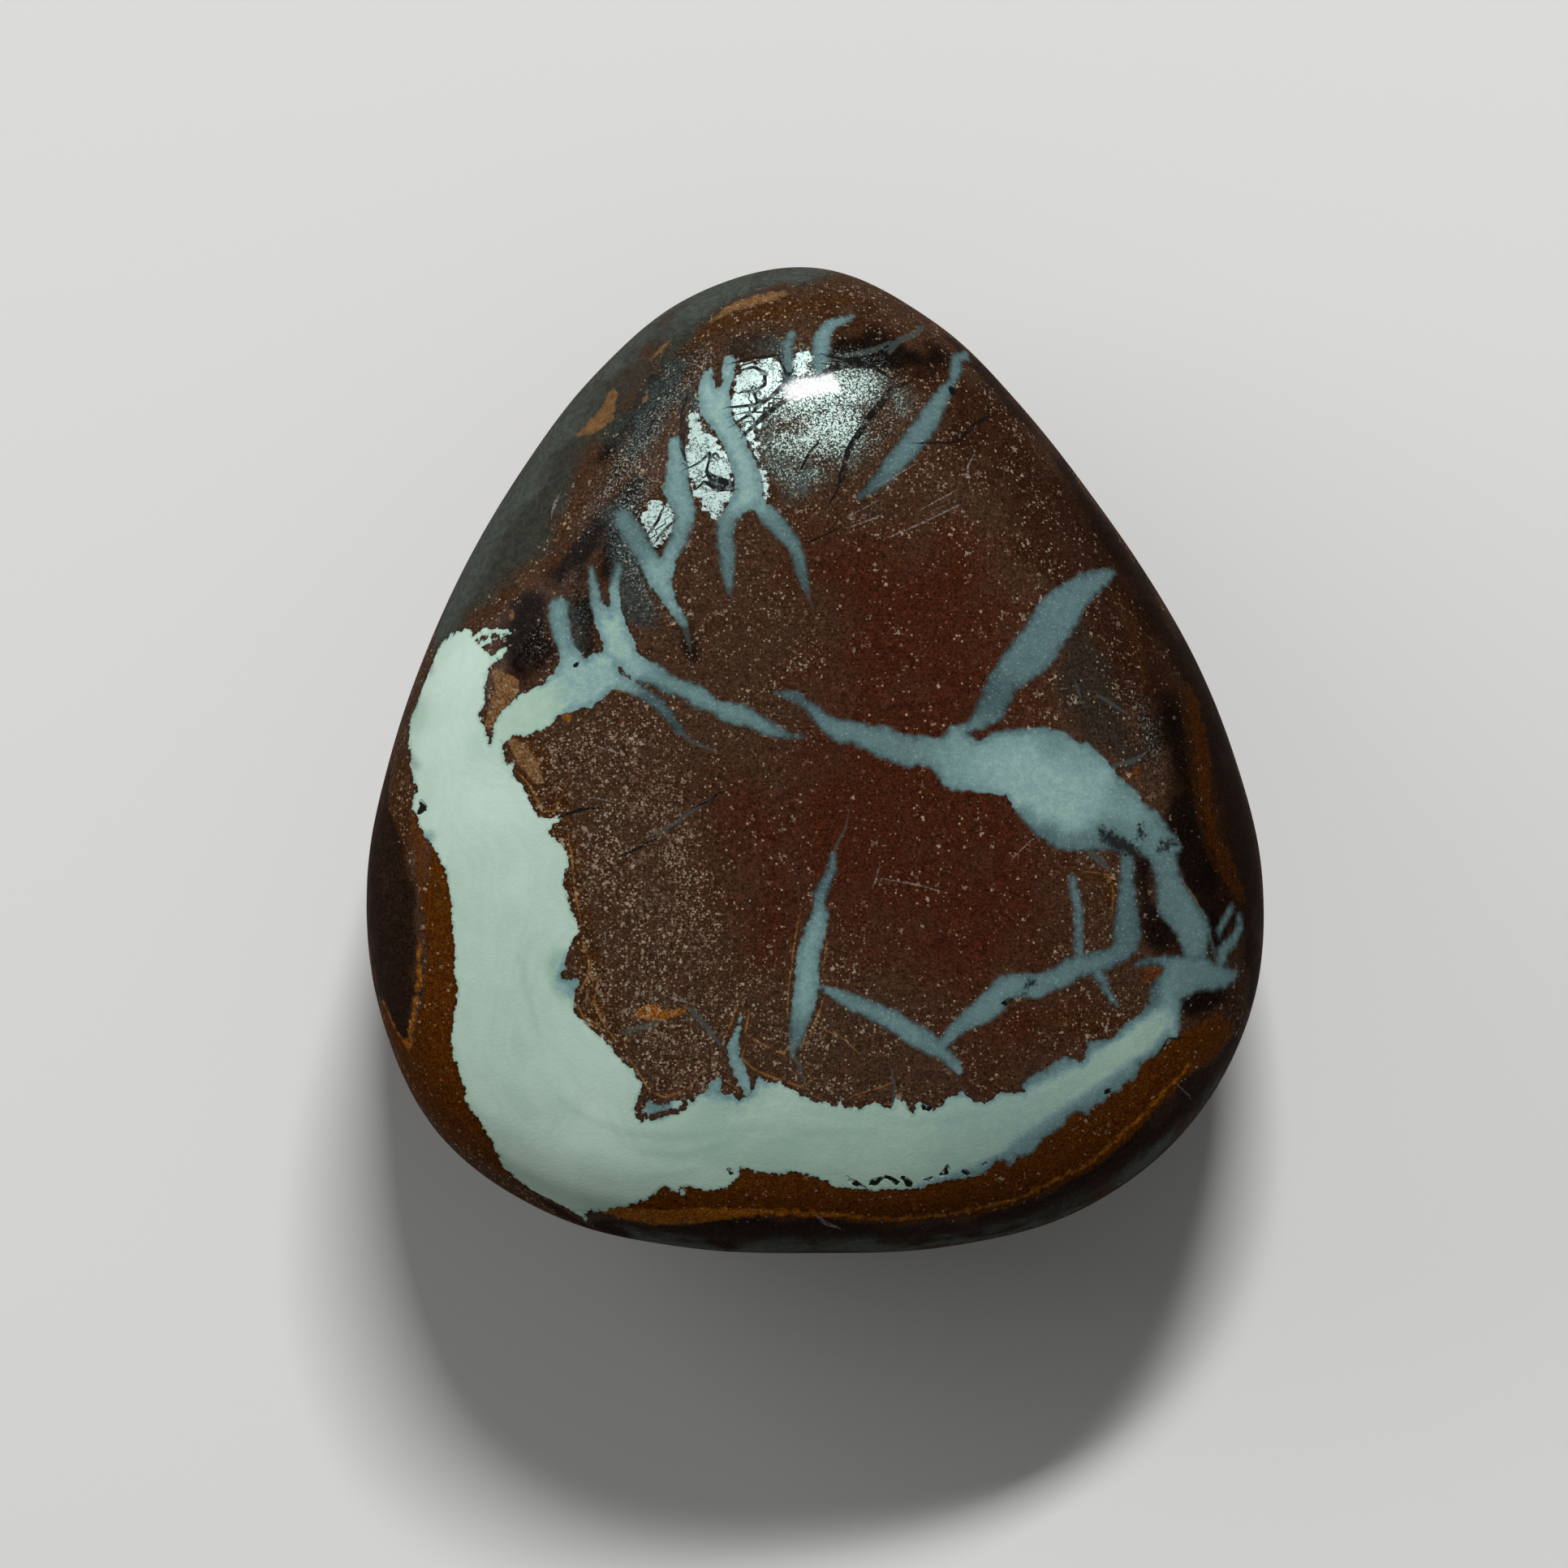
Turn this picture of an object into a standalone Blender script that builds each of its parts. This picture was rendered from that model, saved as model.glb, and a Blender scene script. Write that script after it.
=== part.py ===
"""A polished pebble of koroit boulder opal: one ironstone nodule, seamed with opal, lying on its back.

The polished face looks up, the pointed end is at +Y, and the origin is under the middle of the pebble,
in the plane of the small flat spot that it rests on.
"""

import math

import bmesh
import bpy
from mathutils import Vector, noise

MM = 0.001

# Driving sizes, in millimetres.
THICKNESS = 12.6
WIDEST_LEVEL = 5.7  # height of the level where the pebble is widest
REST_CUT = 0.16  # how much the flat spot takes off the rounded underside

# The outline from above: its radius at each half hour of a clock with 12 at the pointed end.
RIM_RADII = (
    13.43, 12.38, 11.16, 10.45, 10.33, 10.7, 11.45, 12.62,
    13.72, 14.3, 14.28, 13.8, 13.5, 13.8, 14.37, 14.52,
    13.75, 12.7, 11.66, 11.08, 10.98, 11.32, 12.14, 13.12,
)

# A curve with fullness 2 is an ellipse. A larger one is flatter in the middle and turns more tightly.
FACE_FULLNESS = 3.4
BACK_FULLNESS = 2.1

# The face stays flat furthest out at the lower left: the clock hour, and the fullness added there.
FLAT_CORNER_HOUR = 7.8
FLAT_CORNER_FULLNESS = 2.0

# Worn facets of the face: clock hour that each faces, its distance from the middle, and its slope.
WORN_FACETS = (
    (10.4, 8.1, 43.0),
    (1.8, 7.4, 45.0),
)
FACET_BLEND = 0.45  # height over which a facet melts into the dome

# Unevenness of the polish: the size of the swells, and how far they lift or sink the surface.
SWELL_SIZE = 7.5
SWELL_LIFT = 0.1

SPHERE_DIVISIONS = 5
STONE_COLOUR = (0.085, 0.045, 0.032, 1.0)


def clear_scene():
    for obj in list(bpy.data.objects):
        bpy.data.objects.remove(obj)


def clock_angle(hour):
    """The direction of a clock hour in the XY plane, in radians from +X."""
    return math.radians(90.0 - 30.0 * hour)


def rim_radius(angle):
    """The outline's radius in a direction, on a smooth curve through RIM_RADII."""
    count = len(RIM_RADII)
    place = (math.pi / 2 - angle) / (2 * math.pi) * count
    start = math.floor(place)
    t = place - start
    a, b, c, d = (RIM_RADII[(start + step) % count] for step in (-1, 0, 1, 2))
    bend = (2 * a - 5 * b + 4 * c - d) * t**2
    twist = (3 * b - a - 3 * c + d) * t**3
    return 0.5 * (2 * b + (c - a) * t + bend + twist)


def smaller_of(first, second, blend):
    """The smaller of two heights, rounded off where they are nearly equal."""
    near = max(blend - abs(first - second), 0.0) / blend
    return min(first, second) - near**2 * blend / 4


def face_height(x, y, dome):
    """The dome's height at a place on the face, with the worn facets taken off."""
    height = dome
    for hour, distance, slope in WORN_FACETS:
        angle = clock_angle(hour)
        out = x * math.cos(angle) + y * math.sin(angle)
        facet = THICKNESS - (out - distance + FACET_BLEND) * math.tan(math.radians(slope))
        height = smaller_of(height, facet, FACET_BLEND)
    return height


def face_fullness(angle):
    """The fullness of the face's profile in a direction."""
    nearness = max(math.cos(angle - clock_angle(FLAT_CORNER_HOUR)), 0.0)
    return FACE_FULLNESS + FLAT_CORNER_FULLNESS * nearness**2


def surface_point(direction):
    """The point of the pebble's surface that lies in a direction from the middle of its widest level."""
    level = abs(direction.z)
    across = math.hypot(direction.x, direction.y)
    angle = math.atan2(direction.y, direction.x)
    above = direction.z > 0
    height = THICKNESS - WIDEST_LEVEL if above else WIDEST_LEVEL + REST_CUT
    fullness = face_fullness(angle) if above else BACK_FULLNESS
    nearness = (across / rim_radius(angle)) ** fullness + (level / height) ** fullness
    distance = nearness ** (-1 / fullness)
    x = distance * direction.x
    y = distance * direction.y
    z = WIDEST_LEVEL + distance * direction.z
    if above:
        z = max(face_height(x, y, z), WIDEST_LEVEL)
    return Vector((x, y, z))


def add_swells(mesh):
    """Moves each vertex a little along its normal, by a slow noise that fades out towards the rim."""
    mesh.normal_update()
    moves = []
    for vertex in mesh.verts:
        upward = abs(vertex.normal.z)
        swell = noise.noise(vertex.co / SWELL_SIZE)
        moves.append(vertex.normal * (swell * SWELL_LIFT * upward))
    for vertex, move in zip(mesh.verts, moves):
        vertex.co += move


def cut_flat_spot(mesh):
    """Takes off what lies under the resting plane and closes the cut with one flat face."""
    everything = [*mesh.verts, *mesh.edges, *mesh.faces]
    cut = bmesh.ops.bisect_plane(
        mesh, geom=everything, dist=1e-5, plane_co=(0, 0, 0), plane_no=(0, 0, 1), clear_inner=True
    )
    border = [part for part in cut["geom_cut"] if isinstance(part, bmesh.types.BMEdge)]
    bmesh.ops.edgeloop_fill(mesh, edges=border)
    bmesh.ops.recalc_face_normals(mesh, faces=mesh.faces)


def centre_on_origin(mesh):
    """Slides the pebble so that the middle of its width and length is over the origin."""
    for axis in (0, 1):
        places = [vertex.co[axis] for vertex in mesh.verts]
        middle = (min(places) + max(places)) / 2
        for vertex in mesh.verts:
            vertex.co[axis] -= middle


def stone_material():
    material = bpy.data.materials.new("polished_ironstone")
    material.use_nodes = True
    shader = material.node_tree.nodes["Principled BSDF"]
    shader.inputs["Base Color"].default_value = STONE_COLOUR
    shader.inputs["Roughness"].default_value = 0.3
    shader.inputs["Metallic"].default_value = 0.0
    return material


def make_stone():
    mesh = bmesh.new()
    bmesh.ops.create_icosphere(mesh, subdivisions=SPHERE_DIVISIONS, radius=1.0)
    for vertex in mesh.verts:
        vertex.co = surface_point(vertex.co.normalized())
    add_swells(mesh)
    cut_flat_spot(mesh)
    centre_on_origin(mesh)
    bmesh.ops.scale(mesh, vec=(MM, MM, MM), verts=mesh.verts)
    data = bpy.data.meshes.new("opal_stone")
    mesh.to_mesh(data)
    mesh.free()
    data.shade_smooth()
    data.set_sharp_from_angle(angle=math.radians(30))
    data.materials.append(stone_material())
    stone = bpy.data.objects.new("opal_stone", data)
    bpy.context.scene.collection.objects.link(stone)
    return stone


def main():
    clear_scene()
    make_stone()


main()
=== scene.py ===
"""The looks of a polished pebble of koroit boulder opal: ironstone seamed with mint and blue opal."""

import math

import bmesh
import bpy
import numpy as np
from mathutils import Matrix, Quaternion, Vector, noise
from mathutils.bvhtree import BVHTree


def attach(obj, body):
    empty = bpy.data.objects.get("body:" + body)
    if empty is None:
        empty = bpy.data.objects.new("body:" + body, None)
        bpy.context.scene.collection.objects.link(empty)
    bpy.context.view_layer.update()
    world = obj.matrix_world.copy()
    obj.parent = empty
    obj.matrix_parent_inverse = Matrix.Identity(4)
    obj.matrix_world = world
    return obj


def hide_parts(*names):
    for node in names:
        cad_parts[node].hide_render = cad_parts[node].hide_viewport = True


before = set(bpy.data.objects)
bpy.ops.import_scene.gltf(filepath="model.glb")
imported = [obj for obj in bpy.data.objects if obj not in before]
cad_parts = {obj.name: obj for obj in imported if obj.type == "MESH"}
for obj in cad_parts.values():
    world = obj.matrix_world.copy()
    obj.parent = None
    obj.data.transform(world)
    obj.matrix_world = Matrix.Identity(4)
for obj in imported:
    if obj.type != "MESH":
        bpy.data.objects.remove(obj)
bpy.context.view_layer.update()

MM = 0.001
NODE = "opal_stone"
BODY = "root"

# The camera looks straight down. All sizes from here on are in millimetres.
EYE_HEIGHT = 400.0
PHOTO_WIDTH = 43.0  # what the photo's width spans at the level where the pebble is widest
SENSOR_WIDTH = 36.0
WIDEST_LEVEL = 5.7
FACE_LEVEL = 8.0

# Places on the face are given in pixels of the 1932-pixel photo, from its left and top edges.
PHOTO_SIDE = 1932
MM_PER_PIXEL = PHOTO_WIDTH / PHOTO_SIDE
PEBBLE_MIDDLE = (1005.0, 936.5)
PHOTO_MIDDLE = (PHOTO_SIDE / 2, PHOTO_SIDE / 2)

# The mint band, traced round its edge. The inner edge borders the core, the outer edge the rim.
MINT_INNER_EDGE = (
    (553, 784), (566, 777), (580, 776), (584, 789), (594, 796), (606, 815), (597, 840), (598, 866),
    (590, 880), (604, 918), (611, 889), (619, 876), (641, 856), (660, 848), (700, 845), (700, 878),
    (688, 881), (677, 894), (645, 908), (632, 906), (618, 917), (624, 945), (632, 941), (629, 951),
    (646, 972), (659, 1001), (670, 1010), (681, 1008), (691, 1003), (690, 1012), (673, 1023), (691, 1041),
    (698, 1051), (700, 1062), (692, 1088), (698, 1098), (713, 1150), (703, 1163), (698, 1174), (696, 1190),
    (691, 1204), (702, 1208), (713, 1203), (714, 1212), (707, 1222), (705, 1234), (708, 1246), (720, 1260),
    (745, 1282), (770, 1312), (778, 1316), (784, 1328), (796, 1340), (799, 1352), (806, 1361), (816, 1362),
    (828, 1358), (842, 1357), (857, 1352), (869, 1347), (874, 1336), (883, 1329), (893, 1327), (885, 1346),
    (893, 1350), (903, 1349), (910, 1356), (926, 1347), (935, 1325), (943, 1334), (955, 1336), (962, 1332),
    (971, 1340), (982, 1345), (989, 1352), (1003, 1358), (1018, 1358), (1029, 1365), (1034, 1354),
    (1041, 1364), (1056, 1366), (1081, 1358), (1100, 1368), (1103, 1353), (1108, 1361), (1114, 1352),
    (1119, 1366), (1124, 1373), (1129, 1360), (1140, 1357), (1148, 1367), (1160, 1364), (1164, 1352),
    (1176, 1352), (1183, 1346), (1191, 1347), (1196, 1356), (1211, 1360), (1226, 1353), (1234, 1344),
    (1243, 1348), (1256, 1346), (1263, 1349), (1259, 1339), (1267, 1329), (1279, 1321), (1293, 1316),
    (1301, 1307), (1312, 1302), (1335, 1311), (1339, 1299), (1340, 1284), (1368, 1280), (1377, 1275),
    (1384, 1264), (1408, 1247), (1416, 1238), (1417, 1224), (1422, 1210), (1432, 1202), (1434, 1192),
)
MINT_KNOT_EDGE = (
    (1424, 1187), (1398, 1191), (1408, 1182), (1425, 1179), (1450, 1178), (1486, 1180), (1500, 1190),
    (1526, 1196), (1524, 1206), (1511, 1216), (1497, 1220), (1480, 1220), (1455, 1231), (1452, 1280),
    (1443, 1280),
)
MINT_OUTER_EDGE = (
    (1436, 1286), (1428, 1297), (1404, 1311), (1403, 1320), (1396, 1330), (1386, 1333), (1380, 1344),
    (1370, 1346), (1362, 1356), (1342, 1366), (1343, 1375), (1335, 1371), (1324, 1370), (1315, 1376),
    (1310, 1387), (1286, 1401), (1277, 1414), (1266, 1424), (1254, 1425), (1244, 1438), (1237, 1427),
    (1226, 1432), (1215, 1443), (1200, 1449), (1165, 1455), (1130, 1464), (1110, 1466), (1092, 1464),
    (1077, 1467), (1063, 1464), (1028, 1463), (1018, 1455), (1005, 1449), (975, 1443), (958, 1446),
    (925, 1442), (911, 1437), (909, 1450), (901, 1460), (886, 1466), (872, 1468), (846, 1459), (838, 1462),
    (846, 1477), (835, 1468), (824, 1464), (817, 1459), (810, 1468), (797, 1477), (782, 1483), (745, 1491),
    (720, 1493), (695, 1489), (672, 1480), (655, 1470), (640, 1458), (620, 1437), (603, 1401), (575, 1359),
    (571, 1333), (565, 1320), (557, 1292), (555, 1276), (559, 1262), (563, 1231), (563, 1214), (560, 1200),
    (560, 1164), (557, 1142), (557, 1110), (553, 1098), (552, 1083), (547, 1070), (536, 1047), (522, 1028),
    (508, 996), (509, 984), (514, 975), (507, 952), (503, 905), (506, 878), (513, 848), (525, 822),
    (538, 800),
)
MINT_BAND = MINT_INNER_EDGE + MINT_KNOT_EDGE + MINT_OUTER_EDGE

# The body of the upper left vein, which runs out of the mint band towards the core.
UPPER_LEFT_VEIN = (
    (660, 852), (686, 824), (690, 810), (677, 765), (677, 748), (681, 739), (692, 736), (700, 745),
    (700, 762), (705, 795), (722, 812), (729, 804), (744, 803), (742, 790), (732, 764), (729, 748),
    (735, 742), (745, 756), (752, 757), (755, 744), (762, 744), (788, 808), (811, 818), (823, 830),
    (838, 838), (866, 846), (884, 864), (915, 868), (964, 899), (978, 905), (994, 907), (975, 909),
    (955, 908), (938, 903), (922, 894), (905, 893), (892, 888), (880, 879), (852, 868), (843, 860),
    (830, 855), (818, 854), (808, 845), (783, 838), (771, 829), (761, 815), (763, 828), (772, 838),
    (770, 848), (760, 849), (750, 853), (740, 863), (728, 871), (680, 880), (660, 880),
)

# The right vein with its leaf at the top and its long foot, which runs down to the knot of the band.
RIGHT_VEIN = (
    (955, 853), (970, 851), (984, 853), (992, 862), (1012, 874), (1024, 885), (1062, 891), (1078, 896),
    (1090, 895), (1113, 905), (1126, 908), (1140, 906), (1150, 911), (1163, 908), (1171, 895), (1190, 893),
    (1198, 884), (1216, 839), (1236, 808), (1262, 774), (1283, 740), (1299, 726), (1330, 709), (1346, 704),
    (1372, 702), (1374, 708), (1336, 748), (1326, 771), (1316, 783), (1300, 811), (1288, 825), (1251, 851),
    (1248, 845), (1247, 862), (1240, 872), (1236, 883), (1224, 891), (1208, 898), (1190, 902), (1206, 914),
    (1228, 901), (1286, 896), (1314, 904), (1332, 917), (1342, 916), (1371, 946), (1379, 959), (1399, 973),
    (1406, 986), (1414, 995), (1427, 1001), (1431, 1011), (1451, 1034), (1456, 1044), (1448, 1055),
    (1451, 1071), (1457, 1087), (1489, 1137), (1491, 1149), (1487, 1162), (1486, 1185), (1460, 1185),
    (1457, 1168), (1451, 1152), (1428, 1124), (1423, 1080), (1418, 1060), (1397, 1048), (1380, 1050),
    (1365, 1047), (1320, 1048), (1302, 1045), (1277, 1028), (1252, 1000), (1239, 980), (1225, 977),
    (1172, 973), (1160, 965), (1154, 952), (1145, 945), (1132, 942), (1120, 945), (1088, 934), (1047, 913),
    (1035, 916), (1010, 897), (1003, 885), (985, 867), (970, 860),
)

# The long vein below the right one, down to its fork and on to its tail in the core.
LOWER_RIGHT_VEIN = (
    (1381, 1040), (1397, 1040), (1396, 1075), (1405, 1155), (1401, 1170), (1389, 1181), (1372, 1191),
    (1328, 1205), (1317, 1214), (1290, 1223), (1281, 1230), (1252, 1228), (1241, 1232), (1238, 1243),
    (1228, 1251), (1213, 1261), (1198, 1266), (1184, 1275), (1166, 1291), (1181, 1307), (1189, 1326),
    (1179, 1321), (1158, 1304), (1132, 1293), (1091, 1266), (1062, 1250), (1049, 1245), (1011, 1218),
    (1010, 1213), (1040, 1221), (1108, 1247), (1118, 1256), (1146, 1271), (1157, 1281), (1178, 1256),
    (1232, 1205), (1246, 1201), (1277, 1201), (1293, 1198), (1313, 1182), (1325, 1178), (1360, 1172),
    (1371, 1167), (1381, 1085),
)

# The vein that comes down from the top, with a fork at its foot.
TOP_VEIN = (
    (893, 442), (905, 435), (908, 450), (900, 480), (900, 500), (905, 520), (915, 530), (922, 550),
    (931, 566), (940, 600), (938, 615), (926, 627), (913, 634), (905, 645), (903, 660), (905, 676),
    (903, 722), (898, 730), (893, 715), (885, 675), (884, 655), (885, 640), (904, 608), (905, 590),
    (896, 560), (880, 531), (864, 510), (861, 495), (861, 475), (866, 461), (876, 453), (883, 481),
    (891, 470), (890, 455),
)
VEIN_OUTLINES = (UPPER_LEFT_VEIN, RIGHT_VEIN, LOWER_RIGHT_VEIN, TOP_VEIN)

# Narrower veins as strokes: each point is a place and the vein's width there.
VEIN_STROKES = (
    # the prongs of the upper left vein
    ((728, 702, 6), (735, 742, 13), (742, 758, 20)),
    ((762, 700, 8), (757, 722, 11), (757, 742, 11), (757, 762, 16)),
    # its thin branch, under a sliver of ironstone
    ((768, 842, 16), (782, 849, 13), (797, 857, 12), (812, 868, 12), (826, 884, 10), (838, 902, 7)),
    # jagged fingers at the top of the mint band
    ((583, 786, 6), (600, 778, 7), (614, 777, 6), (628, 780, 4)),
    ((588, 797, 7), (603, 789, 5), (618, 784, 4)),
    ((604, 815, 8), (614, 807, 8), (623, 799, 5)),
    # the vein down the middle of the core
    ((1026, 1056, 7), (1025, 1072, 10), (1010, 1103, 14), (1010, 1115, 11), (1010, 1128, 20),
     (1004, 1150, 26), (996, 1175, 27), (993, 1225, 30), (987, 1250, 25), (978, 1290, 10), (976, 1300, 4)),
    # between the right vein and the long one below it
    ((1320, 1080, 5), (1328, 1115, 10), (1330, 1176, 10)),
    # small veins along the band's inner edge
    ((912, 1255, 4), (908, 1275, 7), (903, 1288, 13), (904, 1302, 14), (917, 1333, 15), (920, 1345, 11)),
    ((1352, 1198, 12), (1369, 1229, 6), (1378, 1241, 3)),
    # the feather at the upper right
    ((1200, 428, 12), (1178, 442, 10), (1178, 456, 13), (1174, 470, 8), (1163, 484, 16), (1152, 503, 22),
     (1140, 525, 26), (1122, 548, 27), (1088, 588, 18), (1072, 603, 11), (1060, 612, 4)),
    # beside the highlight
    ((1050, 391, 4), (1036, 395, 8), (1022, 402, 14), (1013, 415, 19), (1012, 432, 19), (1010, 450, 14),
     (1008, 462, 8)),
    ((976, 412, 8), (970, 425, 12), (970, 445, 12), (971, 462, 10), (969, 478, 5)),
    # left of the top vein: a leaf, its neighbour and their common tail
    ((832, 545, 16), (835, 575, 25), (833, 603, 31), (844, 630, 26), (838, 660, 20), (823, 690, 19),
     (813, 712, 28), (819, 730, 18), (842, 768, 9)),
    ((768, 640, 22), (783, 662, 27), (798, 688, 24), (812, 712, 28)),
    # the right prong of the top vein's fork
    ((935, 622, 16), (950, 638, 22), (965, 655, 20), (980, 674, 14), (987, 700, 12), (992, 722, 7)),
    # prongs at the knot
    ((1503, 1190, 9), (1508, 1170, 13), (1519, 1159, 10), (1527, 1146, 7), (1527, 1128, 4)),
    ((1502, 1152, 4), (1508, 1135, 6), (1517, 1118, 6)),
)

# Smoky gaps in the veins, through which the dark ironstone shows.
GAP_STROKES = (
    ((1356, 1022, 4), (1366, 1032, 16), (1380, 1042, 18), (1398, 1050, 12)),
    ((1352, 1060, 4), (1364, 1066, 10), (1371, 1070, 6)),
    ((1374, 1046, 4), (1376, 1060, 6)),
    ((1405, 1018, 2), (1406, 1030, 7)),
    ((1430, 1046, 3), (1438, 1041, 10), (1448, 1037, 5)),
    ((1262, 1222, 3), (1270, 1212, 6)),
)
# A channel of ironstone round an islet of opal, in the notch of the mint band.
CHANNEL_STROKES = (
    ((800, 1332, 6), (786, 1366, 12), (789, 1380, 6)),
    ((788, 1373, 8), (803, 1376, 7), (836, 1368, 7), (852, 1359, 5)),
)

# Faint veins that lie under the surface: they only tint the ironstone.
FAINT_VEINS = (
    ((852, 1245, 8), (870, 1265, 9), (886, 1285, 6)),
    ((772, 1272, 7), (795, 1265, 8), (812, 1259, 5)),
    ((800, 1030, 4), (830, 1016, 6), (852, 1000, 6), (870, 988, 5), (886, 978, 3)),
    ((838, 900, 6), (850, 913, 7), (864, 919, 6), (882, 925, 3)),
    ((1372, 943, 5), (1395, 938, 9), (1410, 929, 4)),
    ((1352, 856, 4), (1368, 866, 6), (1386, 878, 4)),
    ((1325, 840, 3), (1328, 850, 6), (1331, 858, 3)),
    ((1026, 1058, 6), (1030, 1042, 5), (1042, 1020, 4), (1046, 1000, 2)),
    ((976, 1298, 6), (985, 1314, 7), (992, 1336, 4)),
    ((1100, 1366, 6), (1102, 1340, 5), (1098, 1315, 3)),
    ((1016, 445, 8), (1050, 438, 10), (1080, 430, 8), (1095, 422, 5)),
    ((1096, 434, 7), (1108, 419, 10), (1128, 412, 9), (1136, 402, 9)),
    ((840, 760, 12), (846, 780, 9), (851, 800, 4)),
    ((893, 700, 16), (899, 730, 8)),
    ((985, 700, 14), (993, 725, 10), (998, 740, 4)),
    ((1345, 1052, 10), (1358, 1062, 12), (1366, 1072, 5)),
    ((995, 580, 9), (988, 596, 15), (992, 608, 8)),
    ((1498, 1180, 8), (1490, 1150, 5)),
)

# Dark thin cracks, open grain and the edges of worn patches.
CRACKS = (
    ((905, 447, 3), (930, 441, 4), (958, 438, 3)),
    ((914, 456, 3), (930, 452, 4), (942, 460, 5), (943, 474, 4), (930, 482, 4), (913, 483, 3)),
    ((928, 482, 4), (934, 497, 4), (928, 509, 3)),
    ((901, 502, 3), (930, 499, 4), (950, 488, 4), (968, 470, 4), (974, 460, 3)),
    ((905, 522, 2), (925, 510, 5), (940, 497, 4), (964, 481, 2)),
    ((920, 533, 4), (942, 512, 7), (957, 500, 7), (975, 491, 3)),
    ((960, 443, 3), (968, 458, 4), (965, 478, 3)),
    ((848, 577, 2), (862, 570, 3), (877, 555, 3), (886, 562, 3)),
    ((877, 555, 2), (870, 582, 4), (880, 590, 10), (900, 596, 8)),
    ((856, 604, 2), (868, 594, 4), (885, 602, 9), (900, 603, 4)),
    ((846, 490, 3), (841, 505, 5), (841, 527, 8), (840, 550, 7), (844, 566, 3)),
    ((800, 657, 3), (811, 641, 4), (816, 628, 3)),
    ((809, 665, 3), (820, 652, 4), (830, 643, 3)),
    ((1016, 438, 3), (1040, 443, 4), (1078, 438, 3)),
    ((1012, 462, 5), (1026, 454, 8), (1048, 448, 10), (1076, 452, 6), (1092, 462, 4)),
    ((1118, 472, 4), (1100, 478, 8), (1088, 495, 9), (1072, 513, 9), (1058, 535, 8), (1046, 553, 8),
     (1034, 594, 4)),
    ((1008, 546, 3), (996, 560, 4), (988, 577, 3)),
    ((1025, 616, 3), (1034, 600, 3), (1042, 584, 2)),
    ((1136, 546, 3), (1165, 546, 3), (1182, 544, 4), (1195, 530, 5), (1208, 519, 6), (1220, 513, 3)),
    ((1026, 655, 2), (998, 668, 2)),
    ((773, 1052, 3), (790, 1044, 4), (805, 1035, 3)),
    ((698, 1004, 3), (715, 998, 5), (732, 996, 3)),
    ((860, 993, 3), (875, 987, 3), (884, 979, 4), (890, 976, 2)),
    ((1455, 1280, 3), (1440, 1280, 4), (1430, 1296, 3)),
    ((1050, 1454, 4), (1062, 1461, 4)),
    ((1246, 1100, 2), (1256, 1104, 2)),
)

# Dark pits in the opal: a stroke for each.
PITS = (
    ((518, 987, 5), (521, 995, 11), (515, 1003, 5)),
    ((1047, 1456, 5), (1056, 1458, 6)),
    ((1074, 1457, 7), (1087, 1453, 6)),
    ((1093, 1450, 4), (1104, 1458, 7)),
    ((1112, 1452, 6), (1120, 1458, 9)),
    ((1140, 1455, 4), (1148, 1452, 5)),
    ((1160, 1448, 5), (1167, 1442, 8), (1168, 1436, 4)),
    ((1188, 1444, 7), (1194, 1446, 5)),
    ((1212, 1436, 5), (1216, 1432, 3)),
    ((898, 1442, 6), (901, 1444, 6)),
    ((1262, 1424, 5), (1265, 1423, 3)),
    ((1364, 1345, 7), (1370, 1343, 3)),
    ((709, 820, 5), (713, 816, 3)),
    ((722, 808, 5), (726, 800, 4)),
    ((1236, 1238, 6), (1245, 1232, 6)),
    ((1138, 1364, 8), (1146, 1366, 6)),
    ((1171, 478, 6), (1175, 484, 7)),
    ((1088, 434, 5), (1096, 441, 6)),
)

# Pale scratches of the polish.
SCRATCHES = (
    ((1096, 662, 2), (1135, 645, 3), (1182, 622, 2)),
    ((1138, 626, 2), (1173, 607, 2)),
    ((1082, 598, 2), (1100, 589, 3), (1124, 574, 2)),
    ((1048, 649, 2), (1082, 637, 3)),
    ((1050, 634, 2), (1078, 619, 2)),
    ((1085, 1082, 2), (1105, 1086, 2), (1130, 1090, 3), (1158, 1098, 2)),
    ((1082, 1072, 2), (1078, 1088, 3)),
    ((738, 920, 2), (762, 928, 3)),
    ((732, 983, 2), (752, 987, 3)),
    ((1194, 590, 3), (1192, 575, 3), (1199, 562, 2)),
    ((1250, 1055, 2), (1272, 1034, 2)),
    ((1452, 1338, 2), (1464, 1349, 3)),
    ((846, 1235, 2), (832, 1230, 4)),
    ((1008, 1500, 4), (1018, 1508, 6), (1032, 1512, 4)),
    ((680, 633, 3), (684, 620, 5), (688, 612, 3)),
)

# Faint folds and grey smudges of the mint band.
FOLD_STROKES = (
    ((690, 1356, 1), (724, 1378, 3), (770, 1396, 5), (820, 1402, 6), (880, 1398, 4), (930, 1390, 1)),
    ((790, 1420, 1), (840, 1424, 5), (890, 1410, 4), (915, 1402, 1)),
    ((640, 1180, 1), (652, 1230, 3), (664, 1276, 1)),
    ((980, 1398, 1), (1030, 1395, 3), (1080, 1396, 1)),
    ((790, 1452, 1), (830, 1447, 3), (860, 1442, 1)),
    ((1120, 1384, 1), (1170, 1380, 4), (1210, 1372, 2)),
)
SMUDGE_STROKES = (
    ((528, 819, 5), (528, 826, 7)),
    ((505, 932, 6), (512, 944, 6)),
    ((509, 862, 3), (508, 872, 4)),
)

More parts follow.
